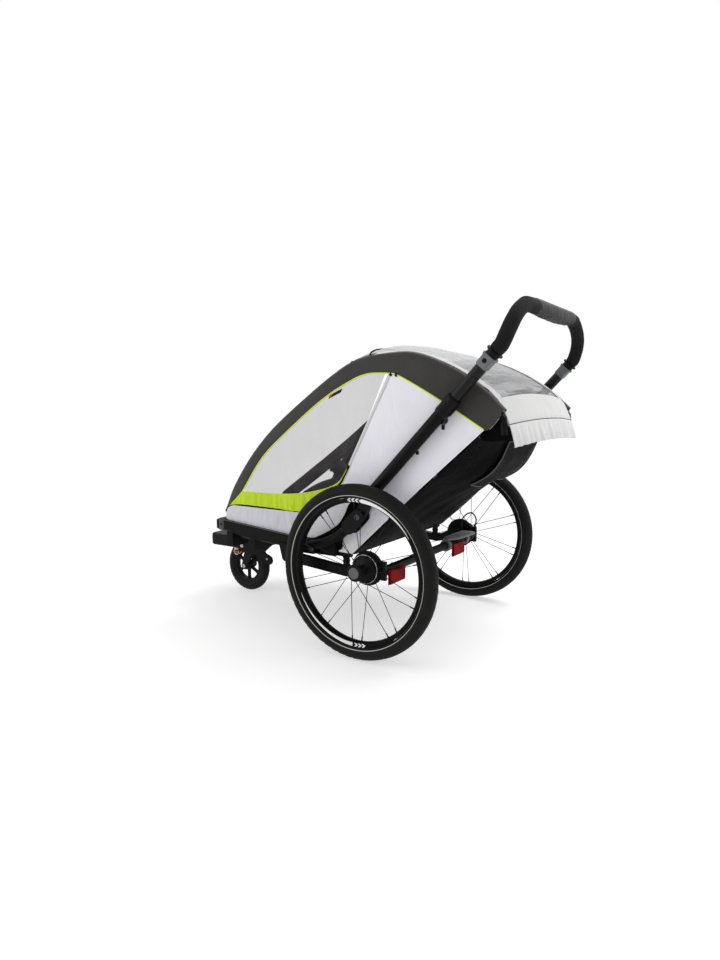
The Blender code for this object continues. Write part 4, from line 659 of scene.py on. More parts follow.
# The roof film carries painted shade streaks of the rear bow from x 0.215 rearwards.
ROOF_FILM = film_look("roof_film", "clear_sheet", (0.62, 0.625, 0.64), 0.34, 0.42, (0.30, 1.3, 1.0), 0.08,
                      shade_streaks_from=SHIFT + 0.215)
TYRE_LOOK = tyre_look("tyre_rubber", SHIFT, WHEEL_RADIUS, STRIPE_RADIUS)
CASTER_LOOK = tyre_look("caster_rubber", SHIFT + CASTER_X, CASTER_RADIUS, 0.0)
BUFFER_LOOK = moulded_look("buffer_rubber", "rubber", (0.010, 0.010, 0.0105), 0.75, grains=400.0)
CABLE_LOOK = moulded_look("cable_sheath", "rubber", (0.007, 0.007, 0.0075), 0.42, grains=1500.0, wear=0.1)
FOAM_LOOK = foam_look()
BLACK_MOULDED = moulded_look("black_moulding", "black_plastic", (0.0062, 0.0062, 0.0066), 0.5)
SATIN_MOULDED = moulded_look("satin_moulding", "black_plastic", (0.0050, 0.0050, 0.0055), 0.36, grains=1200.0,
                             dust=0.15)
PAN_LOOK = moulded_look("floor_moulding", "black_plastic", (0.010, 0.010, 0.011), 0.62, grains=420.0, dust=0.3,
                        wear=0.5)
GREY_MOULDED = moulded_look("grey_moulding", "grey_plastic", (0.125, 0.128, 0.142), 0.45, dust=0.15, specular=0.3)
CAP_LOOK = moulded_look("cap_moulding", "grey_plastic", (0.072, 0.073, 0.078), 0.5, dust=0.15)
HUB_LOOK = moulded_look("hub_button_grey", "hub_grey", (0.100, 0.100, 0.104), 0.38, grains=900.0, dust=0.1,
                        specular=0.3)
CAST_LOOK = moulded_look("drum_casting", "black_plastic", (0.0052, 0.0052, 0.0055), 0.48, grains=260.0, dust=0.3)
TUBE_PAINT = painted_look("tube_paint", "black_paint", (0.0046, 0.0046, 0.0050), 0.36)
INNER_PAINT = painted_look("inner_tube_paint", "black_paint", (0.0060, 0.0060, 0.0066), 0.30, specular=0.16)
RIM_PAINT = painted_look("rim_paint", "black_paint", (0.0044, 0.0044, 0.0048), 0.33, wear=0.6)
SPOKE_LOOK = painted_look("spoke_paint", "black_paint", (0.0060, 0.0060, 0.0064), 0.34)
STEEL = metal_look("bright_steel", "steel", (0.42, 0.42, 0.44), 0.34)
DECAL = moulded_look("rim_decal", "white_fabric", (0.80, 0.80, 0.81), 0.4, grains=2200.0, dust=0.0, wear=0.2)
RED_MOULDED = moulded_look("red_button", "red_lens", (0.52, 0.02, 0.015), 0.4, dust=0.1)
LENS = lens_look()
POCKET_NET = mesh_look()


# Forms


def skin(bm, rings, closed_along=False, caps=True):
    """Faces between rings of equally many vertices, with the ends capped."""
    count = len(rings)
    for i in range(count if closed_along else count - 1):
        here, there = rings[i], rings[(i + 1) % count]
        for j in range(len(here)):
            k = (j + 1) % len(here)
            bm.faces.new((here[j], here[k], there[k], there[j]))
    if caps and not closed_along:
        bm.faces.new(rings[0])
        bm.faces.new(rings[-1])


def smooth(points, per_span):
    """Smooth curve through points, with per_span steps between each two."""
    vectors = [Vector(p) for p in points]
    padded = [2 * vectors[0] - vectors[1], *vectors, 2 * vectors[-1] - vectors[-2]]
    curve = []
    for i in range(1, len(padded) - 2):
        a, b, c, d = padded[i - 1 : i + 3]
        for k in range(per_span):
            t = k / per_span
            curve.append(
                0.5
                * (2 * b + (c - a) * t + (2 * a - 5 * b + 4 * c - d) * t**2 + (3 * b - 3 * c + d - a) * t**3)
            )
    curve.append(vectors[-1])
    return curve


def lengths(line):
    total = [0.0]
    for a, b in zip(line, line[1:]):
        total.append(total[-1] + (b - a).length)
    return total


def walk(line, share):
    """Point at a share of a line's length."""
    total = lengths(line)
    place = min(max(share, 0.0), 1.0) * total[-1]
    for k in range(len(line) - 1):
        if place <= total[k + 1]:
            return line[k].lerp(line[k + 1], (place - total[k]) / max(1e-9, total[k + 1] - total[k]))
    return line[-1].copy()


def even(line, count):
    return [walk(line, k / count) for k in range(count + 1)]


def height_at(line, x):
    for a, b in zip(line, line[1:]):
        if a[0] <= x <= b[0] and b[0] > a[0]:
            return a[1] + (b[1] - a[1]) * (x - a[0]) / (b[0] - a[0])
    return line[0][1] if x < line[0][0] else line[-1][1]


def spread(low, high, count):
    return [low + (high - low) * k / count for k in range(count + 1)]


def full_turn(count):
    """Angles of a full turn in equal steps, without the one that ends it."""
    return spread(0, math.tau, count)[:-1]


def ahead_at(line, k):
    """Way that a line runs at its point k."""
    return (line[min(k + 1, len(line) - 1)] - line[max(k - 1, 0)]).normalized()


def squarer(value, power):
    """Cosine or sine pulled towards -1 and 1, so that a circle turns into a rounded square."""
    return math.copysign(abs(value) ** power, value)


def outward(grid, flipped):
    """Grid with its rows reversed where the sheet would otherwise face inwards."""
    return [row[::-1] for row in grid] if flipped else grid


def ripple(point, size, reach):
    """Smooth uneven lift, of about reach metres, that changes over size metres."""
    return reach * noise.noise(Vector(point) / size)


def lofted(rings, closed_along=False):
    """Form over rings of equally many points."""
    bm = bmesh.new()
    skin(bm, [[bm.verts.new(p) for p in ring] for ring in rings], closed_along)
    return bm


def tube_into(bm, path, radius, sides=12):
    """Round bar along a path; radius is one value or one for each point."""
    radii = radius if isinstance(radius, (list, tuple)) else [radius] * len(path)
    rings = []
    across = None
    for i, point in enumerate(path):
        ahead = ahead_at(path, i)
        across = ahead.orthogonal().normalized() if across is None else before.rotation_difference(ahead) @ across
        before = ahead
        up = ahead.cross(across)
        rings.append([
            bm.verts.new(point + radii[i] * (math.cos(a) * across + math.sin(a) * up))
            for a in full_turn(sides)
        ])
    skin(bm, rings)
    return bm


def tube(path, radius, sides=12):
    return tube_into(bmesh.new(), [Vector(p) for p in path], radius, sides)


def turned(profile, steps, centre, side=1, closed=False, wave=None):
    """Form turned about Y at centre, from (radius, distance outwards) points; wave changes a radius."""
    rings = []
    for i, (radius, distance) in enumerate(profile):
        ring = []
        for a in full_turn(steps):
            r = radius if wave is None else wave(i, radius, a)
            ring.append((centre[0] + r * math.cos(a), centre[1] + side * distance, centre[2] + r * math.sin(a)))
        rings.append(ring)
    return lofted(rings, closed)


def along_tube(distance, side, off=0.0, out=0.0):
    """Point near a push tube: off is towards the rear and down, out is outwards."""
    return TUBE_FOOT + Vector((0, side * (PUSH_Y + out), 0)) + distance * TUBE_AHEAD + off * TUBE_ACROSS


def turned_on_tube(profile, side, steps=40, square=0.0, wave=None, closed=False):
    """Form turned about a push tube from (distance, radius) points; square pulls it to a rounded square."""
    rings = []
    for i, (distance, radius) in enumerate(profile):
        ring = []
        for a in full_turn(steps):
            r = radius if wave is None else wave(i, radius, a)
            if square:
                r /= (abs(math.cos(a)) ** square + abs(math.sin(a)) ** square) ** (1 / square)
            ring.append(along_tube(distance, side, r * math.cos(a), side * r * math.sin(a)))
        rings.append(ring)
    return lofted(rings, closed)


def plate(outline, side, inner, outer):
    """Upright plate on one side, from an outline in x and z."""
    return lofted([[(x, side * y, z) for x, z in outline] for y in (inner, outer)])


def brick(low, high):
    corners = [(low[0], low[1]), (high[0], low[1]), (high[0], high[1]), (low[0], high[1])]
    return lofted([[(x, y, z) for x, y in corners] for z in (low[2], high[2])])


def arc(centre, radius, start, end, steps):
    return [
        (centre[0] + radius * math.cos(math.radians(a)), centre[1] + radius * math.sin(math.radians(a)))
        for a in spread(start, end, steps)
    ]


def link_outline(a, a_radius, b, b_radius, steps=12):
    """Outline of a link with round ends."""
    lie = math.degrees(math.atan2(b[1] - a[1], b[0] - a[0]))
    open_by = math.degrees(math.acos((a_radius - b_radius) / math.dist(a, b)))
    far_end = arc(b, b_radius, lie - open_by, lie + open_by, steps)
    return far_end + arc(a, a_radius, lie + open_by, lie + 360 - open_by, steps)


def cloth_form(grid, thickness, around=False):
    """Closed sheet over a grid of points, thickened away from its face."""
    bm = bmesh.new()
    rows, columns = len(grid), len(grid[0])
    face = [[bm.verts.new(p) for p in row] for row in grid]
    back = []
    for i in range(rows):
        line = []
        for j in range(columns):
            up = grid[min(i + 1, rows - 1)][j] - grid[max(i - 1, 0)][j]
            if around:
                side = grid[i][(j + 1) % columns] - grid[i][j - 1]
            else:
                side = grid[i][min(j + 1, columns - 1)] - grid[i][max(j - 1, 0)]
            line.append(bm.verts.new(grid[i][j] - side.cross(up).normalized() * thickness))
        back.append(line)
    last = columns if around else columns - 1
    for i in range(rows - 1):
        for j in range(last):
            k = (j + 1) % columns
            bm.faces.new((face[i][j], face[i][k], face[i + 1][k], face[i + 1][j]))
            bm.faces.new((back[i][j], back[i + 1][j], back[i + 1][k], back[i][k]))
    for j in range(last):
        k = (j + 1) % columns
        bm.faces.new((back[0][j], back[0][k], face[0][k], face[0][j]))
        bm.faces.new((face[-1][j], face[-1][k], back[-1][k], back[-1][j]))
    if not around:
        for i in range(rows - 1):
            bm.faces.new((face[i][0], face[i + 1][0], back[i + 1][0], back[i][0]))
            bm.faces.new((back[i][-1], back[i + 1][-1], face[i + 1][-1], face[i][-1]))
    return bm


def merged(*forms):
    """One mesh from several."""
    whole = bmesh.new()
    for form in forms:
        copy = bpy.data.meshes.new("part")
        form.to_mesh(copy)
        form.free()
        whole.from_mesh(copy)
        bpy.data.meshes.remove(copy)
    return whole


def made(name, bm, look, body, *stands_for, sharp=38.0, soft=0.0):
    """A finished piece. body is None for one that is attached to no body."""
    bmesh.ops.recalc_face_normals(bm, faces=bm.faces)
    bm.transform(Matrix.Translation((SHIFT, 0, 0)))
    mesh = bpy.data.meshes.new(name)
    bm.to_mesh(mesh)
    bm.free()
    mesh.materials.append(look)
    mesh.shade_smooth()
    mesh.set_sharp_from_angle(angle=math.radians(sharp))
    obj = bpy.data.objects.new(name, mesh)
    bpy.context.scene.collection.objects.link(obj)
    if soft:
        edge = obj.modifiers.new("soft_edges", "BEVEL")
        edge.width = soft
        edge.segments = 3
        edge.limit_method = "ANGLE"
        edge.angle_limit = math.radians(35)
        edge.harden_normals = True
    if body:
        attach(obj, body)
    if stands_for:
        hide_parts(*stands_for)
    return obj


def across_fold(obj):
    """Cloth between the frame and the canopy, which folds down over it; only its transform is baked into its mesh
    here.
    """
    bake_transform(obj)
    return obj


def declared(obj):
    """Sheet of cloth, returned as it is."""
    return obj


def stitches(line, pitch=0.0042, radius=0.00035):
    """Row of raised stitches on a line of points."""
    bm = bmesh.new()
    total = lengths(line)[-1]
    count = max(1, int(total / pitch))
    for k in range(count):
        ends = [walk(line, (k + share) / count) for share in (0.12, 0.45, 0.78)]
        tube_into(bm, ends, [radius * 0.5, radius, radius * 0.5], 5)
    return bm


def mirrored(points):
    return [Vector((p.x, -p.y, p.z)) for p in reversed(points)]


def beside(p, side, out=0.0):
    """Point over the band's outer face, from a point in x and z."""
    return Vector((p[0], side * (BAND_OUTER + out), p[1]))


# Camera and studio


CAMERA_PLACE = (1.2105, -1.927, 0.723)
CAMERA_TURN = (math.radians(83.43), 0.0, math.radians(32.69))
CAMERA_LENS = 25.305
WORLD_LEVEL = 0.72
FLOOR_REACH = 9.0
FLOOR_LIT = 0.60
FLOOR_GLOW = 0.50
FADE_FROM = 1.1
FADE_TO = 2.6
# Each lamp: name, place, aim, size and power
LAMPS = (
    ("overhead", (1.2, 0.9, 2.6), (0.0, 0.0, 0.3), (1.7, 1.5), 44),
    ("left_window", (-2.3, -2.4, 1.15), (0.0, 0.0, 0.45), (1.8, 1.6), 32),
    ("right_rear", (2.4, 1.8, 1.6), (0.2, 0.0, 0.5), (1.6, 1.6), 10),
)


def make_camera():
    data = bpy.data.cameras.new("view")
    data.lens = CAMERA_LENS
    data.sensor_width = 36.0
    camera = bpy.data.objects.new("view", data)
    camera.location = CAMERA_PLACE
    camera.rotation_euler = CAMERA_TURN
    bpy.context.scene.collection.objects.link(camera)
    bpy.context.scene.camera = camera


def add_lamp(name, place, aim, size, power):
    data = bpy.data.lights.new(name, "AREA")
    data.shape = "RECTANGLE"
    data.size, data.size_y = size
    data.energy = power
    lamp = bpy.data.objects.new(name, data)
    lamp.location = place
    lamp.rotation_euler = (Vector(aim) - Vector(place)).to_track_quat("-Z", "Y").to_euler()
    bpy.context.scene.collection.objects.link(lamp)


def seen_directly(tree):
    """1 for what the camera, a reflection or a clear sheet shows."""
    path = tree.nodes.new("ShaderNodeLightPath")
    seen = maths(tree, "MAXIMUM", path.outputs["Is Camera Ray"], path.outputs["Is Glossy Ray"])
    return maths(tree, "MAXIMUM", seen, path.outputs["Is Transmission Ray"])


def make_studio():
    scene = bpy.context.scene
    scene.view_settings.view_transform = "Standard"
    world = bpy.data.worlds.new("studio")
    world.use_nodes = True
    tree = world.node_tree
    background = tree.nodes["Background"]
    background.inputs["Color"].default_value = (1.0, 1.0, 1.0, 1.0)
    strength = tree.nodes.new("ShaderNodeMapRange")
    strength.inputs["To Min"].default_value = WORLD_LEVEL
    strength.inputs["To Max"].default_value = 1.0
    tree.links.new(seen_directly(tree), strength.inputs["Value"])
    tree.links.new(strength.outputs["Result"], background.inputs["Strength"])
    scene.world = world

    mesh = bpy.data.meshes.new("floor")
    corners = [(FLOOR_REACH * x, FLOOR_REACH * y, 0) for x, y in ((-1, -1), (1, -1), (1, 1), (-1, 1))]
    mesh.from_pydata(corners, [], [(0, 1, 2, 3)])
    floor = bpy.data.objects.new("floor", mesh)
    floor.location.z = -0.0004
    scene.collection.objects.link(floor)
    look = bpy.data.materials.new("pale_floor")
    look.use_nodes = True
    tree = look.node_tree
    tree.nodes.remove(tree.nodes["Principled BSDF"])
    lit = tree.nodes.new("ShaderNodeBsdfDiffuse")
    glow = tree.nodes.new("ShaderNodeEmission")
    both = tree.nodes.new("ShaderNodeAddShader")
    plain = tree.nodes.new("ShaderNodeEmission")
    mix = tree.nodes.new("ShaderNodeMixShader")
    coords = coords_of(tree)
    speck = maths(tree, "MULTIPLY", noise_of(tree, coords, 60.0, 4.0), 0.012)
    lit.inputs["Color"].default_value = (FLOOR_LIT, FLOOR_LIT, FLOOR_LIT, 1.0)
    tree.links.new(maths(tree, "SUBTRACT", FLOOR_GLOW, speck), glow.inputs["Strength"])
    path = tree.nodes.new("ShaderNodeLightPath")
    reach = tree.nodes.new("ShaderNodeVectorMath")
    reach.operation = "LENGTH"
    tree.links.new(coords, reach.inputs[0])
    far = between(tree, reach.outputs["Value"], FADE_FROM, FADE_TO)
    tree.links.new(lit.outputs[0], both.inputs[0])
    tree.links.new(glow.outputs[0], both.inputs[1])
    tree.links.new(maths(tree, "MULTIPLY", far, path.outputs["Is Camera Ray"]), mix.inputs[0])
    tree.links.new(both.outputs[0], mix.inputs[1])
    tree.links.new(plain.outputs[0], mix.inputs[2])
    tree.links.new(mix.outputs[0], tree.nodes["Material Output"].inputs["Surface"])
    mesh.materials.append(look)

    for lamp in LAMPS:
        add_lamp(*lamp)


# Cables


def make_brake_cable():
    path = smooth(CABLE_ROUTE, 6)
    obj = made("brake_cable_sheath", tube(path, CABLE_RADIUS, 12), CABLE_LOOK, "swing", "brake_cable")
    start, end = path[0], path[-1]
    ferrule = turned([(0.0014, -0.006), (0.0042, -0.006), (0.0042, 0.004), (0.0030, 0.009), (0.0014, 0.009)], 20,
                     (0, 0, 0))
    ferrule.transform(Matrix.Translation(end) @ Matrix.Rotation(math.radians(90), 4, "X"))
    made("cable_ferrule", ferrule, SATIN_MOULDED, "swing")
    boot = turned([(0.0026, -0.002), (0.0040, -0.002), (0.0034, 0.010), (0.0026, 0.011)], 20, (0, 0, 0))
    boot.transform(Matrix.Translation(start) @ Matrix.Rotation(math.radians(-80), 4, "X"))
    made("cable_boot", boot, BLACK_MOULDED, "swing")


# Main wheels


def make_tyre(name, radius, bead, half, bead_half, centre, look, steps, grooves, body, node):
    height = radius - bead
    wall = [(bead, bead_half), (bead + 0.14 * height, 0.80 * half), (bead + 0.38 * height, half)]
    wall += [(bead + 0.62 * height, 0.95 * half), (bead + 0.80 * height, 0.76 * half)]
    wall += [(radius - 0.06 * height, 0.48 * half), (radius - 0.012 * height, 0.22 * half), (radius, 0.0)]
    outline = [tuple(p) for p in smooth(wall, 3)]
    section = outline + [(r, -w) for r, w in reversed(outline[:-1])]

    def tread(i, r, angle):
        share = abs(section[i][1]) / half
        if not 0.30 < share < 0.97 or r < bead + 0.55 * height:
            return r
        phase = (angle * grooves / math.tau + 0.9 * share * (1 if section[i][1] > 0 else -1)) % 1.0
        edge = min(phase, 0.34 - phase)
        fade = min(1.0, (share - 0.30) / 0.12, (0.97 - share) / 0.12)
        return r - 0.0014 * max(0.0, min(1.0, edge / 0.06)) * fade

    form = turned(section, steps, centre, closed=True, wave=tread)
    made(name, form, look, body, node, sharp=50)


def wheel_point(centre, side, radius, angle, out):
    a = math.radians(angle)
    return Vector((centre[0] + radius * math.cos(a), centre[1] + side * out, centre[2] + radius * math.sin(a)))


def rim_decals(centre, side):
    """Tapering white sweeps and chevrons on the rim's outer wall."""
    out = RIM_WIDTH / 2 + 0.00055
    middle = 0.2058
    forms = []
    for start, end, notch in ((84.0, 34.0, 1.0), (-92.0, -156.0, 0.0)):
        grid = []
        for k in range(61):
            share = k / 60
            angle = start + (end - start) * share
            depth = 0.0100 * (1 - share) ** 0.8 + 0.0006
            grid.append([wheel_point(centre, side, middle + w * depth,
                                     angle + (2.2 if w == 0 else 0.0) * notch * (1 - share) ** 8, out)
                                     for w in (-0.5, 0.0, 0.5)])
        forms.append(cloth_form(grid, 0.0003))
    for first, step in ((86.0, 3.5), (-90.6, 3.5)):
        for k in range(3):
            angle = first + k * step
            grid = []
            for share in spread(-1.0, 1.0, 6):
                tip = 2.0 * (1 - abs(share))
                grid.append([wheel_point(centre, side, middle + 0.0052 * share, angle + tip + w, out)
                             for w in (0.0, 0.9, 1.8)])
            forms.append(cloth_form(grid, 0.0003))
    return merged(*forms)


def make_spokes(centre, side, name, body):
    """Paired spokes from the flanges to the rim, with a nipple at each far end."""
    spokes, nipples = bmesh.new(), bmesh.new()
    end = RIM_HOLE - 0.0003
    for k in range(SPOKE_PAIRS):
        middle = (k + 0.5) * math.tau / SPOKE_PAIRS
        for turn, root, offset, lift in (
            (-1, OUTER_FLANGE - 0.004, HUB_OUTER - 0.0085, 0.003),
            (1, INNER_FLANGE - 0.0035, -HUB_INNER + 0.0105, -0.003),
        ):
            near = middle + turn * math.asin(min(0.95, SPOKE_SPACING / 2 / root))
            far = middle + turn * math.asin(SPOKE_SPACING / 2 / end)
            a = wheel_point(centre, side, root, math.degrees(near), offset)
            b = wheel_point(centre, side, end, math.degrees(far), lift)
            ahead = (b - a).normalized()
            head = a - Vector((0, side * math.copysign(0.003, offset), 0))
            tube_into(spokes, [head, a - 0.001 * ahead, a + 0.003 * ahead, b], [0.0012, 0.0012, 0.0010, 0.0010], 8)
            tube_into(nipples, [b - 0.0125 * ahead, b - 0.012 * ahead, b - 0.002 * ahead, b + 0.0006 * ahead],
                      [0.0012, 0.0019, 0.0019, 0.0027], 8)
    made(f"spokes_{name}", spokes, SPOKE_LOOK, body)
    made(f"spoke_nipples_{name}", nipples, SPOKE_LOOK, body)


def make_wheel(name, side):
    body = f"wheel_{name}"
    centre = (0.0, side * WHEEL_Y, WHEEL_RADIUS)
    make_tyre(f"tyre_cover_{name}", WHEEL_RADIUS, RIM_OUTER + 0.0005, TYRE_WIDTH / 2, 0.42 * RIM_WIDTH, centre,
              TYRE_LOOK, 480, 60, body, f"tyre_{name}")
    edge = RIM_WIDTH / 2
    wall = [(RIM_OUTER - 0.001, edge - 0.002), (RIM_OUTER - 0.0002, edge), (RIM_OUTER - 0.0016, edge + 0.0004)]
    wall += [(0.2008, edge), (0.1992, edge - 0.0014), (0.1975, 0.5 * edge), (RIM_HOLE + 0.0002, 0.3 * edge)]
    rim = wall + [(r, -w) for r, w in reversed(wall)]
    made(f"rim_hoop_{name}", turned(rim, 160, centre, closed=True), RIM_PAINT, body, f"rim_{name}", sharp=30)
    made(f"rim_sweeps_{name}", rim_decals(centre, side), DECAL, body)
    make_spokes(centre, side, name, body)
    shell = [(0.0020, -HUB_INNER + 0.0066), (INNER_FLANGE, -HUB_INNER + 0.0066),
             (INNER_FLANGE, -HUB_INNER + 0.0095)]
    shell += [(INNER_FLANGE - 0.001, -HUB_INNER + 0.0105), (0.026, -HUB_INNER + 0.0125),
              (HUB_RADIUS, -HUB_INNER + 0.017)]
    shell += [(HUB_RADIUS - 0.001, -0.012), (HUB_RADIUS, HUB_OUTER - 0.013), (0.0215, HUB_OUTER - 0.010)]
    shell += [(OUTER_FLANGE - 0.001, HUB_OUTER - 0.0075), (OUTER_FLANGE, HUB_OUTER - 0.004),
              (OUTER_FLANGE - 0.002, HUB_OUTER - 0.0006)]
    shell += [(0.0205, HUB_OUTER), (CAP_RADIUS + 0.0008, HUB_OUTER), (CAP_RADIUS + 0.0008, HUB_WELL),
              (0.0020, HUB_WELL)]
    made(f"hub_shell_{name}", turned(shell, 64, centre, side), SATIN_MOULDED, body, f"hub_{name}", sharp=32)
    ribbed = [(0.0070, -HUB_INNER), (DRUM_RADIUS - 0.0012, -HUB_INNER), (DRUM_RADIUS, -HUB_INNER + 0.001)]
    ribbed += [(DRUM_RADIUS, -HUB_INNER + 0.0052), (DRUM_RADIUS - 0.0012, -HUB_INNER + 0.0062),
               (0.0070, -HUB_INNER + 0.0062)]

    def ribs(i, r, angle):
        return r - 0.0012 * (0.5 + 0.5 * math.cos(30 * angle)) ** 2 if 1 <= i <= 4 else r

    made(f"brake_drum_{name}", turned(ribbed, 240, centre, side, closed=True, wave=ribs), CAST_LOOK, body, sharp=40)
    tip = HUB_INNER + 0.047
    axle = [(0.002, -tip), (0.0045, -tip), (0.006, -tip + 0.0025), (0.006, -HUB_INNER - 0.014),
            (0.0055, -HUB_INNER - 0.0135)]
    axle += [(0.0055, -HUB_INNER - 0.012), (0.006, -HUB_INNER - 0.0115), (0.006, -HUB_INNER + 0.002),
             (0.002, -HUB_INNER + 0.002)]
    made(f"plug_axle_{name}", turned(axle, 32, centre, side), STEEL, body, sharp=30)
    ring = [(0.0404, -HUB_INNER + 0.0080), (0.0408, -HUB_INNER + 0.0096), (0.0420, -HUB_INNER + 0.0094),
            (0.0424, -HUB_INNER + 0.0080)]
    ring += [(0.0424, -HUB_INNER + 0.0058), (0.0404, -HUB_INNER + 0.0058)]
    made(f"flange_ring_{name}", turned(ring, 72, centre, side, closed=True), STEEL, body)
    valve = wheel_point(centre, side, RIM_HOLE + 0.002, 162, 0)
    inward = (Vector(centre) - valve).normalized()
    stem = tube([valve, valve + 0.020 * inward, valve + 0.0205 * inward, valve + 0.030 * inward],
                [0.0030, 0.0030, 0.0026, 0.0024], 16)
    made(f"valve_stem_{name}", stem, BLACK_MOULDED, body)
    seat = HUB_WELL + 0.0029
    cap = [(0.0012, seat), (CAP_RADIUS, seat), (CAP_RADIUS, HUB_OUTER + 0.0012),
           (CAP_RADIUS - 0.0009, HUB_OUTER + 0.0024)]
    cap += [(CAP_RADIUS - 0.0024, HUB_OUTER + 0.0030), (CAP_RADIUS - 0.0040, HUB_OUTER + 0.0028),
            (0.0095, HUB_OUTER + 0.0022), (0.0012, HUB_OUTER + 0.0019)]
    made(f"release_cap_{name}", turned(cap, 56, centre, side), HUB_LOOK, f"release_button_{name}",
         f"release_button_{name}", sharp=30)


# Front arm and caster


def make_caster():
    centre = (CASTER_X, 0.0, CASTER_RADIUS)
    half = CASTER_WIDTH / 2
    make_tyre("caster_cover", CASTER_RADIUS, CASTER_BEAD, half, 0.62 * half, centre, CASTER_LOOK, 240, 34,
              "caster_wheel", "caster_tyre")
    wall = [(0.0612, 0.50 * half), (0.0615, 0.62 * half), (0.0585, 0.66 * half), (0.0545, 0.55 * half),
            (0.0535, 0.25 * half)]
    forms = [turned(wall + [(r, -w) for r, w in reversed(wall)], 72, centre, closed=True)]
    hub = [(0.0058, 0.0208), (0.0150, 0.0208), (0.0162, 0.0196), (0.0165, 0.006)]
    forms.append(turned(hub + [(r, -w) for r, w in reversed(hub)], 40, centre, closed=True))
    middle = Vector(centre)
    for k in range(CASTER_SPOKES):
        turn = (k + 0.5) * math.tau / CASTER_SPOKES
        ahead = Vector((math.cos(turn), 0, math.sin(turn)))
        across = Vector((-math.sin(turn), 0, math.cos(turn)))
        rings = []
        for r, wide, deep in CASTER_SPOKE:
            ring = []
            for a in full_turn(16):
                pull = (abs(math.cos(a)) ** 3 + abs(math.sin(a)) ** 3) ** (1 / 3)
                aside = Vector((0, deep * math.sin(a) / pull, 0))
                ring.append(middle + r * ahead + wide * math.cos(a) / pull * across + aside)
            rings.append(ring)
        forms.append(lofted(rings))
    made("caster_spider", merged(*forms), BLACK_MOULDED, "caster_wheel", "caster_rim", sharp=40)
    bolt = [(0.0012, 0.0), (0.0082, 0.0), (0.0082, 0.0030), (0.0072, 0.0042), (0.0040, 0.0042),
            (0.0034, 0.0022), (0.0012, 0.0022)]
    for name, side in SIDES:
        head = turned(bolt, 6, (CASTER_X, side * 0.0283, CASTER_RADIUS), side)
        made(f"caster_bolt_{name}", head, STEEL, "caster_fork", soft=0.0004)


def make_arm_details():
    """Screw heads, lock ring's leash and the moulded parting line of the front arm."""
    for name, side in SIDES:
        for k, (x, z, radius) in enumerate(((ARM_PIVOT[0], ARM_PIVOT[1], 0.0070), (-0.472, 0.195, 0.0042))):
            y = ARM_HALF_WIDTH + 0.0095
            head = [(0.0010, 0.0), (radius, 0.0), (radius, 0.0016), (radius - 0.0014, 0.0030)]
            head += [(0.0030, 0.0032), (0.0026, 0.0016), (0.0010, 0.0016)]
            made(f"arm_screw_{name}_{k}", turned(head, 32, (x, side * y, z), side), STEEL, "chassis")
        cheek = plate(link_outline((-0.628, 0.2345), 0.0190, (-0.6045, 0.2320), 0.0185), side,
                      ARM_HALF_WIDTH - 0.006, ARM_HALF_WIDTH + 0.0008)
        made(f"arm_cheek_{name}", cheek, BLACK_MOULDED, "front_arm", soft=0.0006)
    inner = ARM_HALF_WIDTH - 0.020
    front = ARM_FRONT_X + 0.020
    outline = [(ARM_REAR_X, -ARM_HALF_WIDTH)] + arc((front, -inner), 0.020, 270, 180, 8)
    outline += arc((front, inner), 0.020, 180, 90, 8) + [(ARM_REAR_X, ARM_HALF_WIDTH)]
    seam = [Vector((x, y, 0.2395)) for x, y in outline]
    made("arm_parting_rib", tube(seam, 0.0009, 6), BLACK_MOULDED, "front_arm")
    lock = Vector((-0.634, -0.1855, ARM_BOTTOM - 0.0245))
    route = ((0.0, 0.0, 0.0), (-0.010, -0.005, 0.0090), (0.004, -0.007, 0.0095), (0.022, -0.006, 0.0050),
             (0.027, -0.004, 0.0120), (0.027, -0.003, 0.0225))
    leash = smooth([lock + Vector(p) for p in route], 6)
    made("lock_leash", tube(leash, 0.0011, 8), LEASH, "lock_pin")


def make_fork_details():
    """Lower headset cover on the fork's crown."""
    crown = 2 * CASTER_RADIUS + 0.012
    cover = turned([(0.0120, -0.0008), (0.0200, -0.0008), (0.0205, 0.0006), (0.0190, 0.0014), (0.0120, 0.0014)],
                   40, (0, 0, 0), closed=True)
    cover.transform(Matrix.Translation((-0.701, 0, crown + 0.0052)) @ Matrix.Rotation(math.radians(90), 4, "X"))
    made("fork_washer", cover, STEEL, "caster_fork")


# Rear axle


def make_reflectors():
    thick, width, tall = REFLECTOR_SIZE
    for name, side in SIDES:
        y = side * REFLECTOR_Y[name]
        front = CROSS_BAR[0] + CROSS_BAR_RADIUS + 0.0032
        low = REFLECTOR_TOP - tall
        lens = brick((front + 0.0035, y - width / 2 + 0.0015, low + 0.0015),
                     (front + thick, y + width / 2 - 0.0015, REFLECTOR_TOP - 0.0015))
        made(f"reflector_lens_{name}", lens, LENS, "swing", f"reflector_{name}", soft=0.0022)
        tray = brick((front, y - width / 2, low), (front + 0.0042, y + width / 2, REFLECTOR_TOP))
        made(f"reflector_tray_{name}", tray, LENS, "swing", soft=0.0018)
        grip = CROSS_BAR_RADIUS + 0.0005
        clip = arc(CROSS_BAR, grip, 150, 345, 16) + arc(CROSS_BAR, grip + 0.0045, 345, 150, 16)
        forms = [plate(clip, 1, y + side * shift - 0.006, y + side * shift + 0.006) for shift in (-0.030, 0.015)]
        made(f"reflector_clips_{name}", merged(*forms), BLACK_MOULDED, "swing", soft=0.0008)


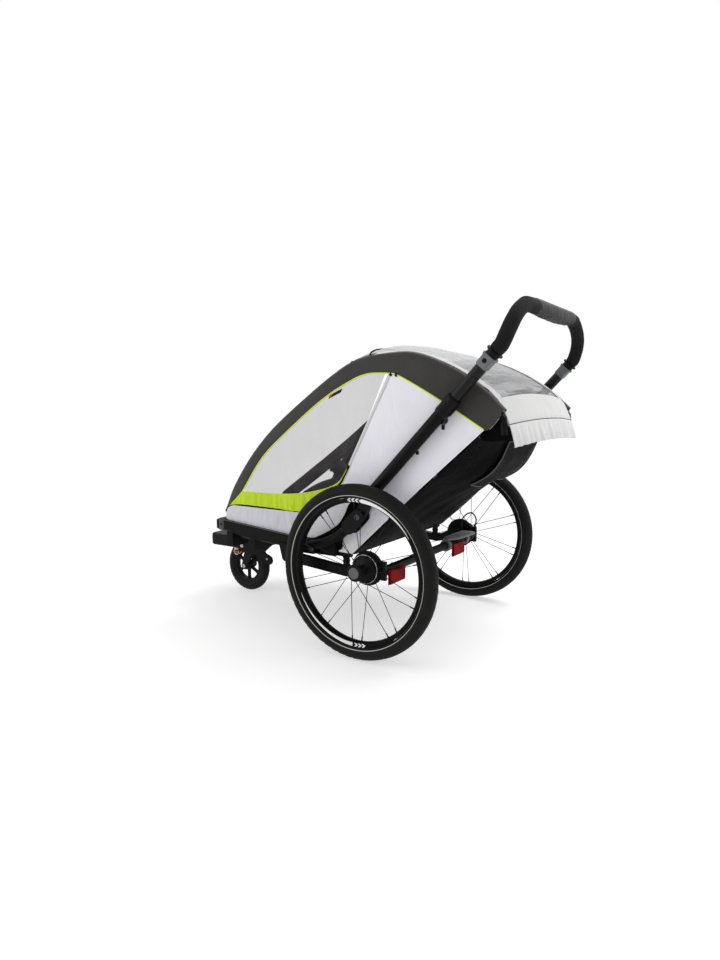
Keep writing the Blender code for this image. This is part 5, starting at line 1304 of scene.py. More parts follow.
def make_brake_details():
    """Ribs and bolts on each brake plate, ribs on the pedal and a spring beside it."""
    for name, side in SIDES:
        forms = []
        for k in range(10):
            a = math.tau * (k + 0.5) / 10
            corners = ((0.019, -0.09), (0.046, -0.035), (0.046, 0.035), (0.019, 0.09))
            outline = [(r * math.cos(a + t), WHEEL_RADIUS + r * math.sin(a + t)) for r, t in corners]
            forms.append(plate(outline, side, BRAKE_PLATE_Y - 0.0002, BRAKE_PLATE_Y + 0.0010))
        made(f"brake_ribs_{name}", merged(*forms), CAST_LOOK, "swing")
        bolt = [(0.0010, 0.0), (0.0052, 0.0), (0.0052, 0.0022), (0.0044, 0.0030), (0.0010, 0.0030)]
        places = ((0.049, 0.262), (0.049, 0.236), (-0.036, 0.272))
        bolts = [turned(bolt, 6, (x, side * (BRAKE_PLATE_Y - 0.0008), z), side) for x, z in places]
        made(f"brake_bolts_{name}", merged(*bolts), SPOKE_LOOK, "swing", sharp=30)
    forms = []
    for k in range(9):
        x = 0.040 + 0.0045 * k
        forms.append(tube([(x, 0.150, 0.2713), (x, 0.240, 0.2713)], 0.0009, 8))
    made("pedal_ribs", merged(*forms), GREY_MOULDED, "brake_pedal")
    spring = [Vector((0.020 + 0.0062 * math.cos(a), 0.232 + a * 0.00065, 0.272 + 0.0062 * math.sin(a)))
              for a in spread(0, math.tau * 7, 140)]
    made("pedal_spring", tube(spring, 0.0011, 8), SPOKE_LOOK, "swing")


def make_hinge_post(name, side):
    foot = brick((-0.236, min(side * (RAIL_OUTER + 0.0005), side * 0.341), 0.272),
                 (-0.176, max(side * (RAIL_OUTER + 0.0005), side * 0.341), 0.306))
    made(f"post_foot_{name}", foot, TUBE_PAINT, "chassis", f"hinge_post_{name}", soft=0.004)
    y = side * (RAIL_OUTER + 0.0005 + 0.014)
    route = smooth([(-0.206, y, 0.294), (-0.150, y, 0.308), (-0.100, y, 0.332), (-0.055, y, 0.366)], 8)
    made(f"post_tube_{name}", tube(route, 0.014, 28), TUBE_PAINT, "chassis")
    jaws = ((PUSH_Y - 0.0175, PUSH_Y - 0.0115), (PUSH_Y + 0.0115, PUSH_Y + 0.0175))
    cheeks = [plate(link_outline(PUSH_PIVOT, 0.021, (-0.052, 0.368), 0.022), side, a, b) for a, b in jaws]
    made(f"post_jaw_{name}", merged(*cheeks), SATIN_MOULDED, "chassis", soft=0.0015)
    root = plate(link_outline((-0.064, 0.357), 0.014, (-0.047, 0.372), 0.0135), side,
                 PUSH_Y - 0.012, PUSH_Y + 0.012)
    made(f"post_root_{name}", root, SATIN_MOULDED, "chassis")
    head = [(0.0010, 0.0), (0.0088, 0.0), (0.0088, 0.0018), (0.0074, 0.0034), (0.0036, 0.0034),
            (0.0030, 0.0014), (0.0010, 0.0014)]
    bolts = [turned(head, 36, (PUSH_PIVOT[0], side * (PUSH_Y + 0.0173), PUSH_PIVOT[1]), side)]
    bolts += [turned(head, 36, (x, side * 0.3408, 0.289), side) for x in (-0.226, -0.186)]
    made(f"post_bolts_{name}", merged(*bolts), CAP_LOOK, "chassis")


# Push frame and handle


def make_push_tube(name, side):
    profile = [(0.0, 0.010), (0.0, TUBE_RADIUS - 0.001), (0.001, TUBE_RADIUS), (TUBE_LENGTH - 0.001, TUBE_RADIUS)]
    profile += [(TUBE_LENGTH, TUBE_RADIUS - 0.0008), (TUBE_LENGTH, 0.0156), (0.02, 0.0156), (0.02, 0.010)]
    shaft = turned_on_tube(profile, side, 48, closed=True)
    made(f"push_tube_{name}", shaft, TUBE_PAINT, "push", f"main_tube_{name}", sharp=30)
    foot = along_tube(0.020, side)
    made(f"push_tongue_{name}", plate(link_outline(PUSH_PIVOT, 0.0155, (foot.x, foot.z), 0.0165), side,
                                      PUSH_Y - 0.0105, PUSH_Y + 0.0105),
         SATIN_MOULDED, "push", soft=0.0015)
    sleeve = turned_on_tube([(-0.004, 0.0176), (-0.004, 0.0196), (-0.002, 0.0202), (0.034, 0.0200),
                             (0.0365, 0.0190), (0.0365, 0.0176)], side, 40, closed=True)
    made(f"tube_shoe_{name}", sleeve, SATIN_MOULDED, "push")
    centre = along_tube(COLLAR_START - 0.017, side)
    tip = along_tube(COLLAR_START - 0.011, side, 0.013)
    catch = plate(link_outline((centre.x, centre.z), 0.0145, (tip.x, tip.z), 0.0095), side,
                  BAND_OUTER + 0.0035, PUSH_Y + 0.003)
    made(f"canopy_catch_{name}", catch, SATIN_MOULDED, "push", sharp=40)


def make_collar(name, side):
    profile = [(0.0003, 0.0181), (0.0003, 0.0196), (0.0018, 0.0204), (0.010, 0.0207), (0.0125, 0.0200),
               (0.030, 0.0197), (0.046, 0.0200)]
    profile += [(0.0485, 0.0207), (0.056, 0.0205), (0.0578, 0.0194), (0.0578, 0.0164)]
    profile = [(COLLAR_START + d, r) for d, r in profile]

    def ribs(i, r, angle):
        return r + 0.0006 * max(0.0, math.cos(14 * angle)) if 4 <= i <= 6 else r

    made(f"twist_collar_{name}", turned_on_tube(profile, side, 112, wave=ribs, closed=True), SATIN_MOULDED,
         f"collar_{name}",
         f"collar_{name}", sharp=40)
    rib = []
    low = 0.0192
    for d, off in ((0.010, low), (0.048, low), (0.044, low + 0.0045), (0.014, low + 0.0045)):
        p = along_tube(COLLAR_START + d, side, off)
        rib.append((p.x, p.z))
    made(f"collar_thumb_rib_{name}", plate(rib, side, PUSH_Y - 0.003, PUSH_Y + 0.003), SATIN_MOULDED,
         f"collar_{name}", soft=0.0012)


def make_handle_side(name, side):
    inner = turned_on_tube([(INNER_START, 0.0134), (INNER_START, INNER_RADIUS), (0.3930, INNER_RADIUS),
                            (0.3945, 0.0161), (CLAMP_START + 0.010, 0.0161), (CLAMP_START + 0.010, 0.0134)],
                           side, 44, closed=True)
    made(f"slide_tube_{name}", inner, INNER_PAINT, "handle", f"inner_tube_{name}", sharp=30)
    body = [(0.002, 0.0154), (0.002, 0.0160), (0.0035, 0.0168), (0.026, 0.0172), (0.029, 0.0178),
            (0.0325, 0.0194), (0.0368, 0.0197), (0.038, 0.0188), (0.038, 0.0150)]
    profile = [(CLAMP_START + d, r) for d, r in body]
    made(f"handle_clamp_{name}", turned_on_tube(profile, side, 64, square=5.0), GREY_MOULDED, "handle",
         f"clamp_{name}", sharp=28)
    centre = along_tube(CLAMP_START + 0.021, side)
    ring = [(0.0053, 0.0166), (0.0053, 0.0178), (0.0062, 0.0177), (0.0066, 0.0166)]
    made(f"catch_rim_{name}", turned(ring, 36, (centre.x, side * PUSH_Y, centre.z), side, closed=True),
         BLACK_MOULDED, "handle")
    head = [(0.0008, 0.0120), (0.0048, 0.0120), (0.0048, 0.0184), (0.0041, 0.0193), (0.0020, 0.0190),
            (0.0008, 0.0189)]
    made(f"catch_head_{name}", turned(head, 36, (centre.x, side * PUSH_Y, centre.z), side), BLACK_MOULDED,
         f"handle_catch_{name}", f"handle_catch_{name}", sharp=30)


def handle_route(per_span):
    end = HANDLE_START + 0.016
    first = along_tube(end, -1)
    bend = smooth([first + 0.010 * TUBE_AHEAD] + [Vector((x, -y, z)) for x, y, z in HANDLE_BEND], per_span)
    half = [along_tube(HANDLE_START - 0.018, -1), first] + bend
    return half, mirrored(half)


def make_handle():
    left, right = handle_route(6)
    made("handle_tube", tube(left + right[1:], HANDLE_RADIUS, 24), TUBE_PAINT, "handle", "handle_bar")
    forms = []
    for _, side in SIDES:
        profile = [(0.0004, 0.0128), (0.0004, 0.0172), (0.0016, 0.0180), (0.009, 0.0180), (0.0105, 0.0232),
                   (0.0125, 0.0238), (0.0152, 0.0234), (0.0158, 0.0222), (0.0158, 0.0128)]
        forms.append(turned_on_tube([(HANDLE_START + d, r) for d, r in profile], side, 48, closed=True))
    made("handle_ferrules", merged(*forms), SATIN_MOULDED, "handle")
    start = HANDLE_START + 0.0165
    path = even([along_tube(start, -1)] + left[2:] + right[1:-2] + [along_tube(start, 1)], 150)
    radii = []
    for k, p in enumerate(path):
        edge = min(k, len(path) - 1 - k)
        radii.append((FOAM_RADIUS if edge > 1 else FOAM_RADIUS - (0.0022 if edge == 0 else 0.0004))
                     + ripple(p, 0.02, 0.0004))
    foam = made("handle_grip", tube(path, radii, 32), FOAM_LOOK, "handle", "handle_foam")
    grid = []
    for y in spread(-0.158, 0.190, 70):
        z = 0.974 + (0.002 if abs(y) < 0.19 else 0.0)
        end = min(1.0, (y + 0.158) / 0.012, (0.190 - y) / 0.012)
        swell = 0.0058 * math.exp(-(((y - 0.02) / 0.13) ** 4))
        ring = []
        for a in full_turn(36):
            lower = max(0.0, -math.sin(a)) ** 1.5
            crumple = ripple((y * 3.2, 0.03 * math.cos(a), 0.03 * math.sin(a)), 0.021, 0.0016) * (0.25 + lower)
            r = 0.0186 + 0.0022 * end + (swell * lower + crumple) * end
            ring.append(Vector((CROSSBAR_X + r * math.cos(a), y, z + r * math.sin(a))))
        grid.append(ring)
    bm = bmesh.new()
    skin(bm, [[bm.verts.new(p) for p in ring] for ring in grid])
    pad = made("handle_wrap", bm, PAD_VINYL, "handle", sharp=60)
    made("wrap_stitching", stitches([Vector((CROSSBAR_X - 0.0212, y, 0.982)) for y in spread(-0.15, 0.182, 60)],
                                    0.005), GREY_THREAD, "handle")


# Canopy


HOOP = smooth(((-0.5735, 0.3665), *HOOP_EDGE), 6)
PIPE_FRONT = smooth(PIPING_FRONT, 8)
PIPE_REAR = smooth(PIPING_REAR, 10)
PIPE = smooth((BAND_TIP, (-0.529, 0.399)), 3) + PIPE_FRONT + PIPE_REAR[1:]
RIDGE = smooth(ROOF_RIDGE, 6)
BACK = smooth(BACK_LINE, 8)


def roof_height(x, y):
    side_z = height_at(HOOP, x) - 0.001
    return side_z + (height_at(RIDGE, x) - side_z) * (1 - abs(min(abs(y), ROOF_HALF) / ROOF_HALF) ** 2.2)


# Section of the band over the hoop: distance across and depth below the rim
RIM_SECTION = (
    (0.2765, 0.0085),
    (0.2780, 0.0042),
    (0.2805, 0.0016),
    (0.2850, 0.0),
    (0.2910, -0.0004),
    (0.2965, 0.0006),
    (0.3005, 0.0032),
    (0.3026, 0.0078),
    (0.3034, 0.0135),
)


def band_row(edge, inward, foot, side, curl=None):
    """One line of the band: over the hoop's rim and down its outer face to the piping."""
    row = []
    for y, depth in RIM_SECTION:
        p = edge + inward * depth
        row.append(Vector((p[0], side * y, p[1])))
    start = edge + inward * RIM_SECTION[-1][1]
    for k in range(1, 11):
        share = k / 10
        p = start.lerp(foot, share) if curl is None else walk(curl, share)
        swell = 0.0016 * math.sin(math.pi * share) + ripple((p[0], p[1], side), 0.055, 0.0011) * (1 - share)
        row.append(beside(p, side, swell))
    return row


def make_band():
    for name, side in SIDES:
        grid = []
        for t in spread(0.0, 1.0, 150):
            edge, foot = walk(HOOP, t), walk(PIPE, t)
            ahead = (walk(HOOP, min(1.0, t + 0.01)) - walk(HOOP, max(0.0, t - 0.01))).normalized()
            grid.append(band_row(edge, Vector((ahead[1], -ahead[0])), foot, side))
        edge = HOOP[-1] + ahead * 0.001
        grid.append(band_row(edge, Vector((ahead[1], -ahead[0])), PIPE[-1], side, [Vector(p) for p in BAND_END]))
        grid = outward(grid, side > 0)
        nodes = ["canopy_band"] if side < 0 else []
        obj = made(f"hoop_band_{name}", cloth_form(grid, 0.0014), BAND_CLOTH, "canopy", *nodes, sharp=60)
        declared(obj)
        piping = tube([beside(p, side, 0.0012) for p in even(PIPE, 160)], 0.0019, 8)
        made(f"lime_piping_{name}", piping, PIPING_LOOK, "canopy")
        upper = even(PIPE, 200)
        line = []
        for k, p in enumerate(upper):
            ahead = ahead_at(upper, k)
            q = p + Vector((-ahead[1], ahead[0])) * 0.006
            line.append(beside(q, side, 0.0012))
        rim = []
        for t in spread(0.01, 0.99, 200):
            p = walk(HOOP, t)
            rim.append(Vector((p[0], side * 0.2868, p[1] + 0.0010)))
        made(f"band_stitching_{name}", merged(stitches(line), stitches(rim)), GREY_THREAD, "canopy")


def make_rolled_cover():
    """Front cover rolled up on the front bow and held with two loops."""
    half = [Vector((ROLL_X, y, roof_height(ROLL_X, y) - 0.005)) for y in spread(-0.2765, 0, 30)]
    path = half + mirrored(half[:-1])
    bm = bmesh.new()
    rings = []
    for k, p in enumerate(path):
        ahead = ahead_at(path, k)
        across = Vector((1, 0, 0))
        up = ahead.cross(across)
        tight = 1 - 0.22 * sum(math.exp(-(((p.y - y) / 0.010) ** 2)) for y in (-0.14, 0.14))
        ring = []
        for a in full_turn(28):
            lap = 0.0012 * (a / math.tau)
            r = (0.0066 + lap) * tight + ripple((p.y, math.cos(a) * 0.02, math.sin(a) * 0.02), 0.018, 0.0008)
            ring.append(bm.verts.new(p + r * (math.cos(a) * across + math.sin(a) * up)))
        rings.append(ring)
    skin(bm, rings)
    roll = made("rolled_cover", bm, BAND_CLOTH, "canopy", sharp=60)
    forms = []
    for y in (-0.14, 0.14):
        z = roof_height(ROLL_X, y) - 0.005
        grid = []
        for a in spread(0, math.tau, 32):
            grid.append([Vector((ROLL_X + 0.0080 * math.cos(a), y + w, z + 0.0080 * math.sin(a)))
                         for w in (-0.009, 0.0, 0.009)])
        forms.append(cloth_form(grid, 0.0010))
        forms.append(brick((ROLL_X - 0.0105, y - 0.006, z - 0.006), (ROLL_X - 0.0075, y + 0.006, z + 0.006)))
    made("cover_loops", merged(*forms), WEBBING, "canopy")


def make_roof():
    window = ROOF_HALF - ROOF_BORDER
    front = FRONT_BOW_X - 0.003
    rear = REAR_BOW_X + 0.012
    low, high = front + 0.016, rear - 0.001

    def lift(x, y):
        return roof_height(x, y) + 0.0016

    def edge_strip(xs, ys):
        return [[Vector((x, y, lift(x, y) + 0.0006 * math.sin(math.pi * k / (len(ys) - 1))
                         + ripple((x, y, 0), 0.03, 0.0007))) for k, y in enumerate(ys)] for x in xs]

    white, dark = [], []
    for side in (-1, 1):
        ys = sorted(side * v for v in spread(window - 0.002, ROOF_HALF + 0.005, 6))
        white.append(edge_strip(spread(WHITE_FROM, rear, 70), ys))
        dark.append(edge_strip(spread(front - 0.004, WHITE_FROM + 0.002, 30), ys))
    dark.append(edge_strip(spread(front - 0.004, low + 0.002, 5), spread(-window, window, 60)))
    border = made("roof_border", merged(*(cloth_form(g, 0.0016) for g in white)), ROOF_CLOTH_SHADED, "canopy",
                  "roof_panel", sharp=60)
    edging = made("roof_front_strip", merged(*(cloth_form(g, 0.0016) for g in dark)), BAND_CLOTH, "canopy",
                  sharp=60)
    grid = []
    for x in spread(low - 0.002, high + 0.002, 70):
        row = []
        for y in spread(-window, window, 76):
            share = (x - low) / (high - low)
            inside = (1 - (y / window) ** 6) * math.sin(math.pi * min(1.0, max(0.0, share)))
            waves = 0.0011 * math.sin(46 * y + 3 * math.sin(7 * x))
            waves += ripple((x * 0.35, y * 1.6, 0.3), 0.035, 0.0016)
            waves += 0.0010 * math.sin(92 * y + 5 * x) * max(0.0, share - 0.62) / 0.38
            row.append(Vector((x, y, roof_height(x, y) + 0.0004 + waves * inside)))
        grid.append(row)
    pane = made("roof_pane", cloth_form(grid, 0.0006), ROOF_FILM, "canopy", "roof_window", sharp=60)
    declared(pane)
    front_edge = [Vector((front - 0.0048, y, lift(front - 0.0048, y) + 0.0008)) for y in spread(-0.281, 0.281, 80)]
    made("roof_front_binding", tube(front_edge, 0.0016, 8), TRUNK_CLOTH, "canopy")
    rows = []
    for side in (-1, 1):
        for y in (window + 0.003, ROOF_HALF + 0.001):
            rows.append(stitches([Vector((x, side * y, lift(x, y) + 0.0009))
                                  for x in spread(WHITE_FROM, rear, 100)]))
    made("roof_stitching", merged(*rows), WHITE_THREAD, "canopy")
    edge = []
    for y in spread(-0.2795, 0.2795, 90):
        x = WHITE_FROM - 0.006 - 0.088 * max(0.0, 1 - (y / 0.2795) ** 2) ** 0.85
        edge.append(Vector((x, y, lift(x, y) + 0.0014)))
    made("roof_front_edge", tube(edge, 0.0022, 8), TRUNK_CLOTH, "canopy")
    welt = []
    for y in spread(-window, window, 80):
        welt.append(Vector((low + 0.002, y, lift(low, y) + 0.0012)))
    made("roof_front_welt", tube(welt, 0.0012, 6), BAND_CLOTH, "canopy")


def make_flap():
    line = even(smooth(FLAP_DROP, 6), 48)
    total = lengths(line)
    seam = 0.69
    grid = []
    for k, p in enumerate(line):
        share = total[k] / total[-1]
        below = max(0.0, (share - seam) / (1 - seam))
        row = []
        for y in spread(-FLAP_HALF, FLAP_HALF, 150):
            bow = 0.010 * (1 - (y / FLAP_HALF) ** 2) * min(1.0, 3 * share)
            settle = (roof_height(0.328, y) - height_at(RIDGE, 0.328)) * (1 - share) ** 1.5
            gather = (math.sin(150 * y) + 0.7 * math.sin(97 * y + 1.1) + 0.5 * math.sin(231 * y + 0.4)) * 0.0021
            fold = gather * (0.15 + below) if share > seam - 0.02 else 0.15 * gather * share
            groove = -0.0016 * math.exp(-(((share - seam) / 0.012) ** 2))
            soft = ripple((y, p[1], 0.0), 0.07, 0.0026) * math.sin(math.pi * min(1.0, share * 1.1))
            out = bow + fold + groove + soft
            droop = 0.006 * (y / FLAP_HALF) ** 2 * share
            row.append(Vector((p[0] + 0.93 * out, y, p[1] + 0.4 * bow - droop + settle + 0.0022)))
        grid.append(row)
    start = min(range(len(line)), key=lambda k: abs(total[k] / total[-1] - 0.285))
    window = ROOF_HALF - ROOF_BORDER
    inner = [j for j, p in enumerate(grid[0]) if abs(p.y) <= window]
    pane_grid = [[p - Vector((0.0008, 0, 0.0010)) for p in row[inner[0] - 1 : inner[-1] + 2]]
                 for row in grid[: start + 1]]
    pane = made("roof_pane_rear", cloth_form(pane_grid, 0.0006), ROOF_FILM, "canopy", sharp=60)
    declared(pane)
    borders = [[row[: inner[0] + 1] for row in grid[: start + 1]], [row[inner[-1] :] for row in grid[: start + 1]]]
    sides = made("flap_side_borders", merged(*(cloth_form(g, 0.0016) for g in borders)), ROOF_CLOTH_SHADED, "canopy",
                 sharp=60)
    hanging = grid[start - 1 :]
    flap = made("roof_flap", cloth_form(hanging, 0.0018), ROOF_CLOTH_SHADED, "canopy", "rear_flap", sharp=60)
    declared(flap)
    seam_row = min(range(len(line)), key=lambda k: abs(total[k] / total[-1] - seam))
    path = [p + Vector((0.0022, 0, 0.0008)) for p in grid[seam_row]]
    made("flap_seam_cord", tube(path, 0.0009, 6), TRUNK_CLOTH, "canopy")
    made("flap_hem", tube(grid[-1], 0.0017, 8), ROOF_CLOTH_SHADED, "canopy")
    rows = [stitches([p + Vector((0.0020, 0, 0.0006)) for p in grid[k]]) for k in (len(line) - 4, seam_row - 2)]
    for j in (3, len(grid[0]) - 4):
        rows.append(stitches([row[j] + Vector((0.0018, 0, 0.0010)) for row in hanging]))
    made("flap_stitching", merged(*rows), WHITE_THREAD, "canopy")


def make_side_film(name, side):
    """Clear side window, drawn in slightly between the piping and the lime strip."""
    top, foot = PIPE_FRONT, smooth(STRIP_TOP, 8)
    grid = []
    for v in spread(0.0, 1.0, 40):
        row = []
        for u in spread(0.012, 1.0, 60):
            p = walk(top, u).lerp(walk(foot, u), v)
            p = p + Vector((0.0, 0.005 * (1 - v) - 0.004 * v))
            inside = math.sin(math.pi * v) * math.sin(math.pi * min(1.0, u * 1.05))
            sag = 0.0036 * inside + ripple((p[0], p[1] * 0.6, side), 0.05, 0.0014) * math.sqrt(max(0.0, inside))
            row.append(Vector((p[0], side * (BAND_OUTER - 0.0022 - sag), p[1])))
        grid.append(row)
    grid = outward(grid, side < 0)
    film = made(f"side_film_{name}", cloth_form(grid, 0.0005), SIDE_FILM, None, f"side_window_{name}", sharp=60)
    declared(across_fold(film))


def make_lime_strip(name, side):
    top, foot = smooth(STRIP_TOP, 8), smooth(STRIP_FOOT, 8)
    grid = []
    for v in spread(0.0, 1.0, 16):
        row = []
        for u in spread(0.0, 0.985, 130):
            p = walk(top, u).lerp(walk(foot, u), v)
            swell = math.sin(math.pi * v)
            folds = math.sin(165 * p[0] + 2.0 * math.sin(31 * p[0])) + 0.6 * math.sin(287 * p[0] + 1.0)
            folds = folds * 0.0017 * (0.3 + 0.7 * v)
            out = 0.0020 + 0.0020 * swell + folds * (1 - 0.94 * abs(2 * v - 1) ** 3)
            row.append(beside(p, side, max(0.0002, out)))
        grid.append(row)
    grid = outward(grid, side > 0)
    strip = made(f"lime_strip_{name}", cloth_form(grid, 0.0014), LIME_CLOTH, None, sharp=60)
    declared(across_fold(strip))
    lower = [Vector((p[0], side * (BAND_OUTER + 0.0020), p[1] - 0.0014)) for p in even(foot, 120)]
    upper = [beside(p, side, 0.0016) for p in even(top, 120)]
    across_fold(made(f"strip_lower_binding_{name}", tube(lower, 0.0029, 8), TRUNK_CLOTH, None))
    across_fold(made(f"strip_upper_piping_{name}", tube(upper, 0.0013, 8), PIPING_LOOK, None))


def panel_rows():
    """Front and rear points of the side panel's rows, from its foot up to the piping."""
    front = ((-0.112, 0.2815), (-0.112, 0.3125), (-0.240, 0.3135),
             (-0.290, 0.388), (-0.252, 0.3895), (-0.138, 0.4665),
             (-0.107, 0.4865), (-0.090, 0.5125), (-0.073, 0.5425), (-0.007, 0.671), (0.060, 0.800))
    shares = (0.0, 0.075, 0.085, 0.205, 0.225, 0.355, 0.395, 0.435, 0.480, 0.735, 1.0)
    rear = smooth(REAR_EDGE, 10)
    rows = []
    for k in range(len(front) - 1):
        steps = max(1, round(60 * (shares[k + 1] - shares[k])))
        for i in range(steps):
            t = i / steps
            a = Vector(front[k]).lerp(Vector(front[k + 1]), t)
            rows.append((a, walk(rear, shares[k] + (shares[k + 1] - shares[k]) * t),
                         shares[k] + (shares[k + 1] - shares[k]) * t))
    rows.append((Vector(front[-1]), rear[-1], 1.0))
    return rows


# Section of the welt: distance across and height over the band's outer face
WELT_SECTION = ((-0.0045, 0.0004), (-0.003, 0.0016), (0.0, 0.0022), (0.003, 0.0024), (0.0045, 0.0018))


def make_side_panel(name, side):
    grid = []
    for a, b, v in panel_rows():
        row = []
        for u in spread(0.0, 1.0, 44):
            p = a.lerp(b, u)
            crown = walk(PIPE_REAR, u) - Vector(PIPE_REAR[0]).lerp(PIPE_REAR[-1], u)
            p = p + crown * v**5
            inside = math.sin(math.pi * u) ** 0.6 * math.sin(math.pi * v) ** 0.6
            pull = 0.0011 * math.sin(70 * (p[0] * 0.72 + p[1] * 0.30)) * math.exp(-(((v - 0.18) / 0.20) ** 2))
            bulge = 0.0030 * inside + ripple((p[0] * 1.4, p[1] * 0.7, side * 2.0), 0.085, 0.0042) * inside + pull
            row.append(beside(p, side, min(0.0052, bulge)))
        grid.append(row)
    grid = outward(grid, side > 0)
    panel = made(f"side_cloth_{name}", cloth_form(grid, 0.0016), SIDE_CLOTH, None, f"side_panel_{name}", sharp=60)
    declared(across_fold(panel))
    tip, top = Vector((-0.073, 0.5425)), Vector((0.060, 0.800))
    ahead = (top - tip).normalized()
    across = Vector((ahead[1], -ahead[0]))
    strip = []
    for t in spread(0.0, 1.0, 60):
        p = tip.lerp(top, t)
        strip.append([beside(p + across * w, side, h) for w, h in WELT_SECTION])
    strip = outward(strip, side > 0)
    across_fold(made(f"panel_welt_{name}", cloth_form(strip, 0.0010), ROOF_CLOTH_SHADED, None, sharp=60))
    edge = [beside(p, side, -0.0004) for p in even(smooth(REAR_EDGE, 10), 80)]
    across_fold(made(f"panel_rear_binding_{name}", tube(edge, 0.0022, 8), SIDE_CLOTH, None))
    rear = [p + Vector((-0.0055, side * 0.0042, 0.005)) for p in edge]
    across_fold(made(f"panel_stitching_{name}", stitches(rear), WHITE_THREAD, None))
    snap = [(0.0008, 0.0), (0.0048, 0.0), (0.0048, 0.0010), (0.0038, 0.0022), (0.0024, 0.0024), (0.0008, 0.0018)]
    places = ((0.064, 0.7990), (0.081, 0.7970))
    snaps = [turned(snap, 28, (x, side * (BAND_OUTER + 0.0012), z), side) for x, z in places]
    made(f"canopy_snaps_{name}", merged(*snaps), SATIN_MOULDED, "canopy")
    loops = []
    for x, z, long in ((0.151, 0.587, 0.010), (0.180, 0.660, 0.010), (0.227, 0.658, 0.014)):
        p = Vector((x, side * (BAND_OUTER + 0.0050), z))
        loops.append(brick((x - 0.004, min(p.y, p.y + side * 0.002), z - long / 2),
                           (x + 0.004, max(p.y, p.y + side * 0.002), z + long / 2)))
    across_fold(made(f"panel_keepers_{name}", merged(*loops), WEBBING, None))


def make_post_shadow_sheet(name, side):
    """Dark sheet behind the hinge post: painted shadow of the post on the pale panel, whose rounded corner lies
    above it.
    """
    upper, lower = smooth(SHADOW_SHEET_UPPER, 8), smooth(SHADOW_SHEET_LOWER, 8)
    grid = []
    for v in spread(0.0, 1.0, 14):
        row = []
        for u in spread(0.0, 1.0, 40):
            p = walk(upper, u).lerp(walk(lower, u), v)
            out = 0.0064 + 0.0010 * math.sin(math.pi * v) + ripple((p[0], p[1], side), 0.03, 0.0005)
            row.append(beside(p, side, out))
        grid.append(row)
    grid = outward(grid, side > 0)
    shadow_sheet = made(f"post_shadow_sheet_{name}", cloth_form(grid, 0.0010), TRUNK_CLOTH, None, sharp=60)
    declared(across_fold(shadow_sheet))


def make_side_tab(name, side):
    """Plain woven tab sewn into the window's piping."""
    a, b = Vector((-0.142, 0.7400)), Vector((-0.097, 0.7600))
    for label, start, end, look in (("woven_tab", 0.24, 1.0, LABEL_LOOK), ("red_tab", 0.0, 0.24, RED_TAB)):
        grid = []
        for t in spread(start, end, 8):
            p = a.lerp(b, t)
            grid.append([Vector((p[0] + 0.4 * w, side * (BAND_OUTER + 0.0030), p[1] + w))
                         for w in (0.003, 0.0, -0.004, -0.008)])
        across_fold(made(f"{label}_{name}", cloth_form(grid, 0.0008), look, None))


def make_skirt():
    """Pale cloth round the foot of the cabin, puckered between its two hems, its colour darkened as painted shade.
    """
    out = 0.3060
    corner = 0.034
    line = [Vector((SKIRT_REAR_X, -out)), Vector((SKIRT_FRONT_X + corner, -out))]
    line += [Vector(p) for p in arc((SKIRT_FRONT_X + corner, -out + corner), corner, 270, 180, 8)][1:]
    line += [Vector(p) for p in arc((SKIRT_FRONT_X + corner, out - corner), corner, 180, 90, 8)]
    line += [Vector((SKIRT_REAR_X, out))]
    path = even(line, 330)
    grid = []
    for share in spread(0.0, 1.0, 18):
        row = []
        for k, p in enumerate(path):
            ahead = ahead_at(path, k)
            outward = Vector((-ahead[1], ahead[0]))
            if outward.dot(p - Vector((-0.35, 0))) < 0:
                outward = -outward
            inside = math.sin(math.pi * share)
            pucker = ripple((k * 0.0055, share * 0.03, 0.0), 0.030, 0.0030) * inside
            swell = 0.0018 * inside + pucker + 0.0007 * math.sin(k * 0.9) * (1 - share) ** 2
            q = p + outward * (swell + 0.0012)
            foot = 0.3115 + height_at(RAIL_TOP_RISE, p[0])
            row.append(Vector((q[0], q[1], foot + share * (height_at(SKIRT_TOP, p[0]) - foot))))
        grid.append(row)
    skirt = made("skirt_cloth_shaded", cloth_form(grid, 0.0016), SKIRT_CLOTH_SHADED, "chassis", "skirt", sharp=60)
    declared(skirt)
    hem = [p + Vector((0, 0, 0.001)) for p in grid[0][::2]]
    made("skirt_hem", tube(hem, 0.0017, 8), SKIRT_CLOTH_SHADED, "chassis")
    top = [p + Vector((0, 0, 0.0005)) for p in grid[-1][::2]]
    made("skirt_top_binding", tube(top, 0.0017, 8), TRUNK_CLOTH, "chassis")
    made("skirt_stitching", stitches(grid[1]), WHITE_THREAD, "chassis")


def copied(node_name):
    """Copy of a solid's mesh in trailer coordinates."""
    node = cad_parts[node_name]
    bm = bmesh.new()
    bm.from_mesh(node.data)
    bm.transform(Matrix.Translation((-SHIFT, 0, 0)) @ node.matrix_world)
    return bm


def make_buffers():
    """Rubber buffers under the rails, copied at rest from their solids, though the real ones shorten as the swing
    arms rise.
    """
    for name, _ in SIDES:
        bm = copied(f"suspension_buffer_{name}")
        obj = made(f"rubber_buffer_{name}", bm, BUFFER_LOOK, "chassis", f"suspension_buffer_{name}", sharp=40)
        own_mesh(obj)


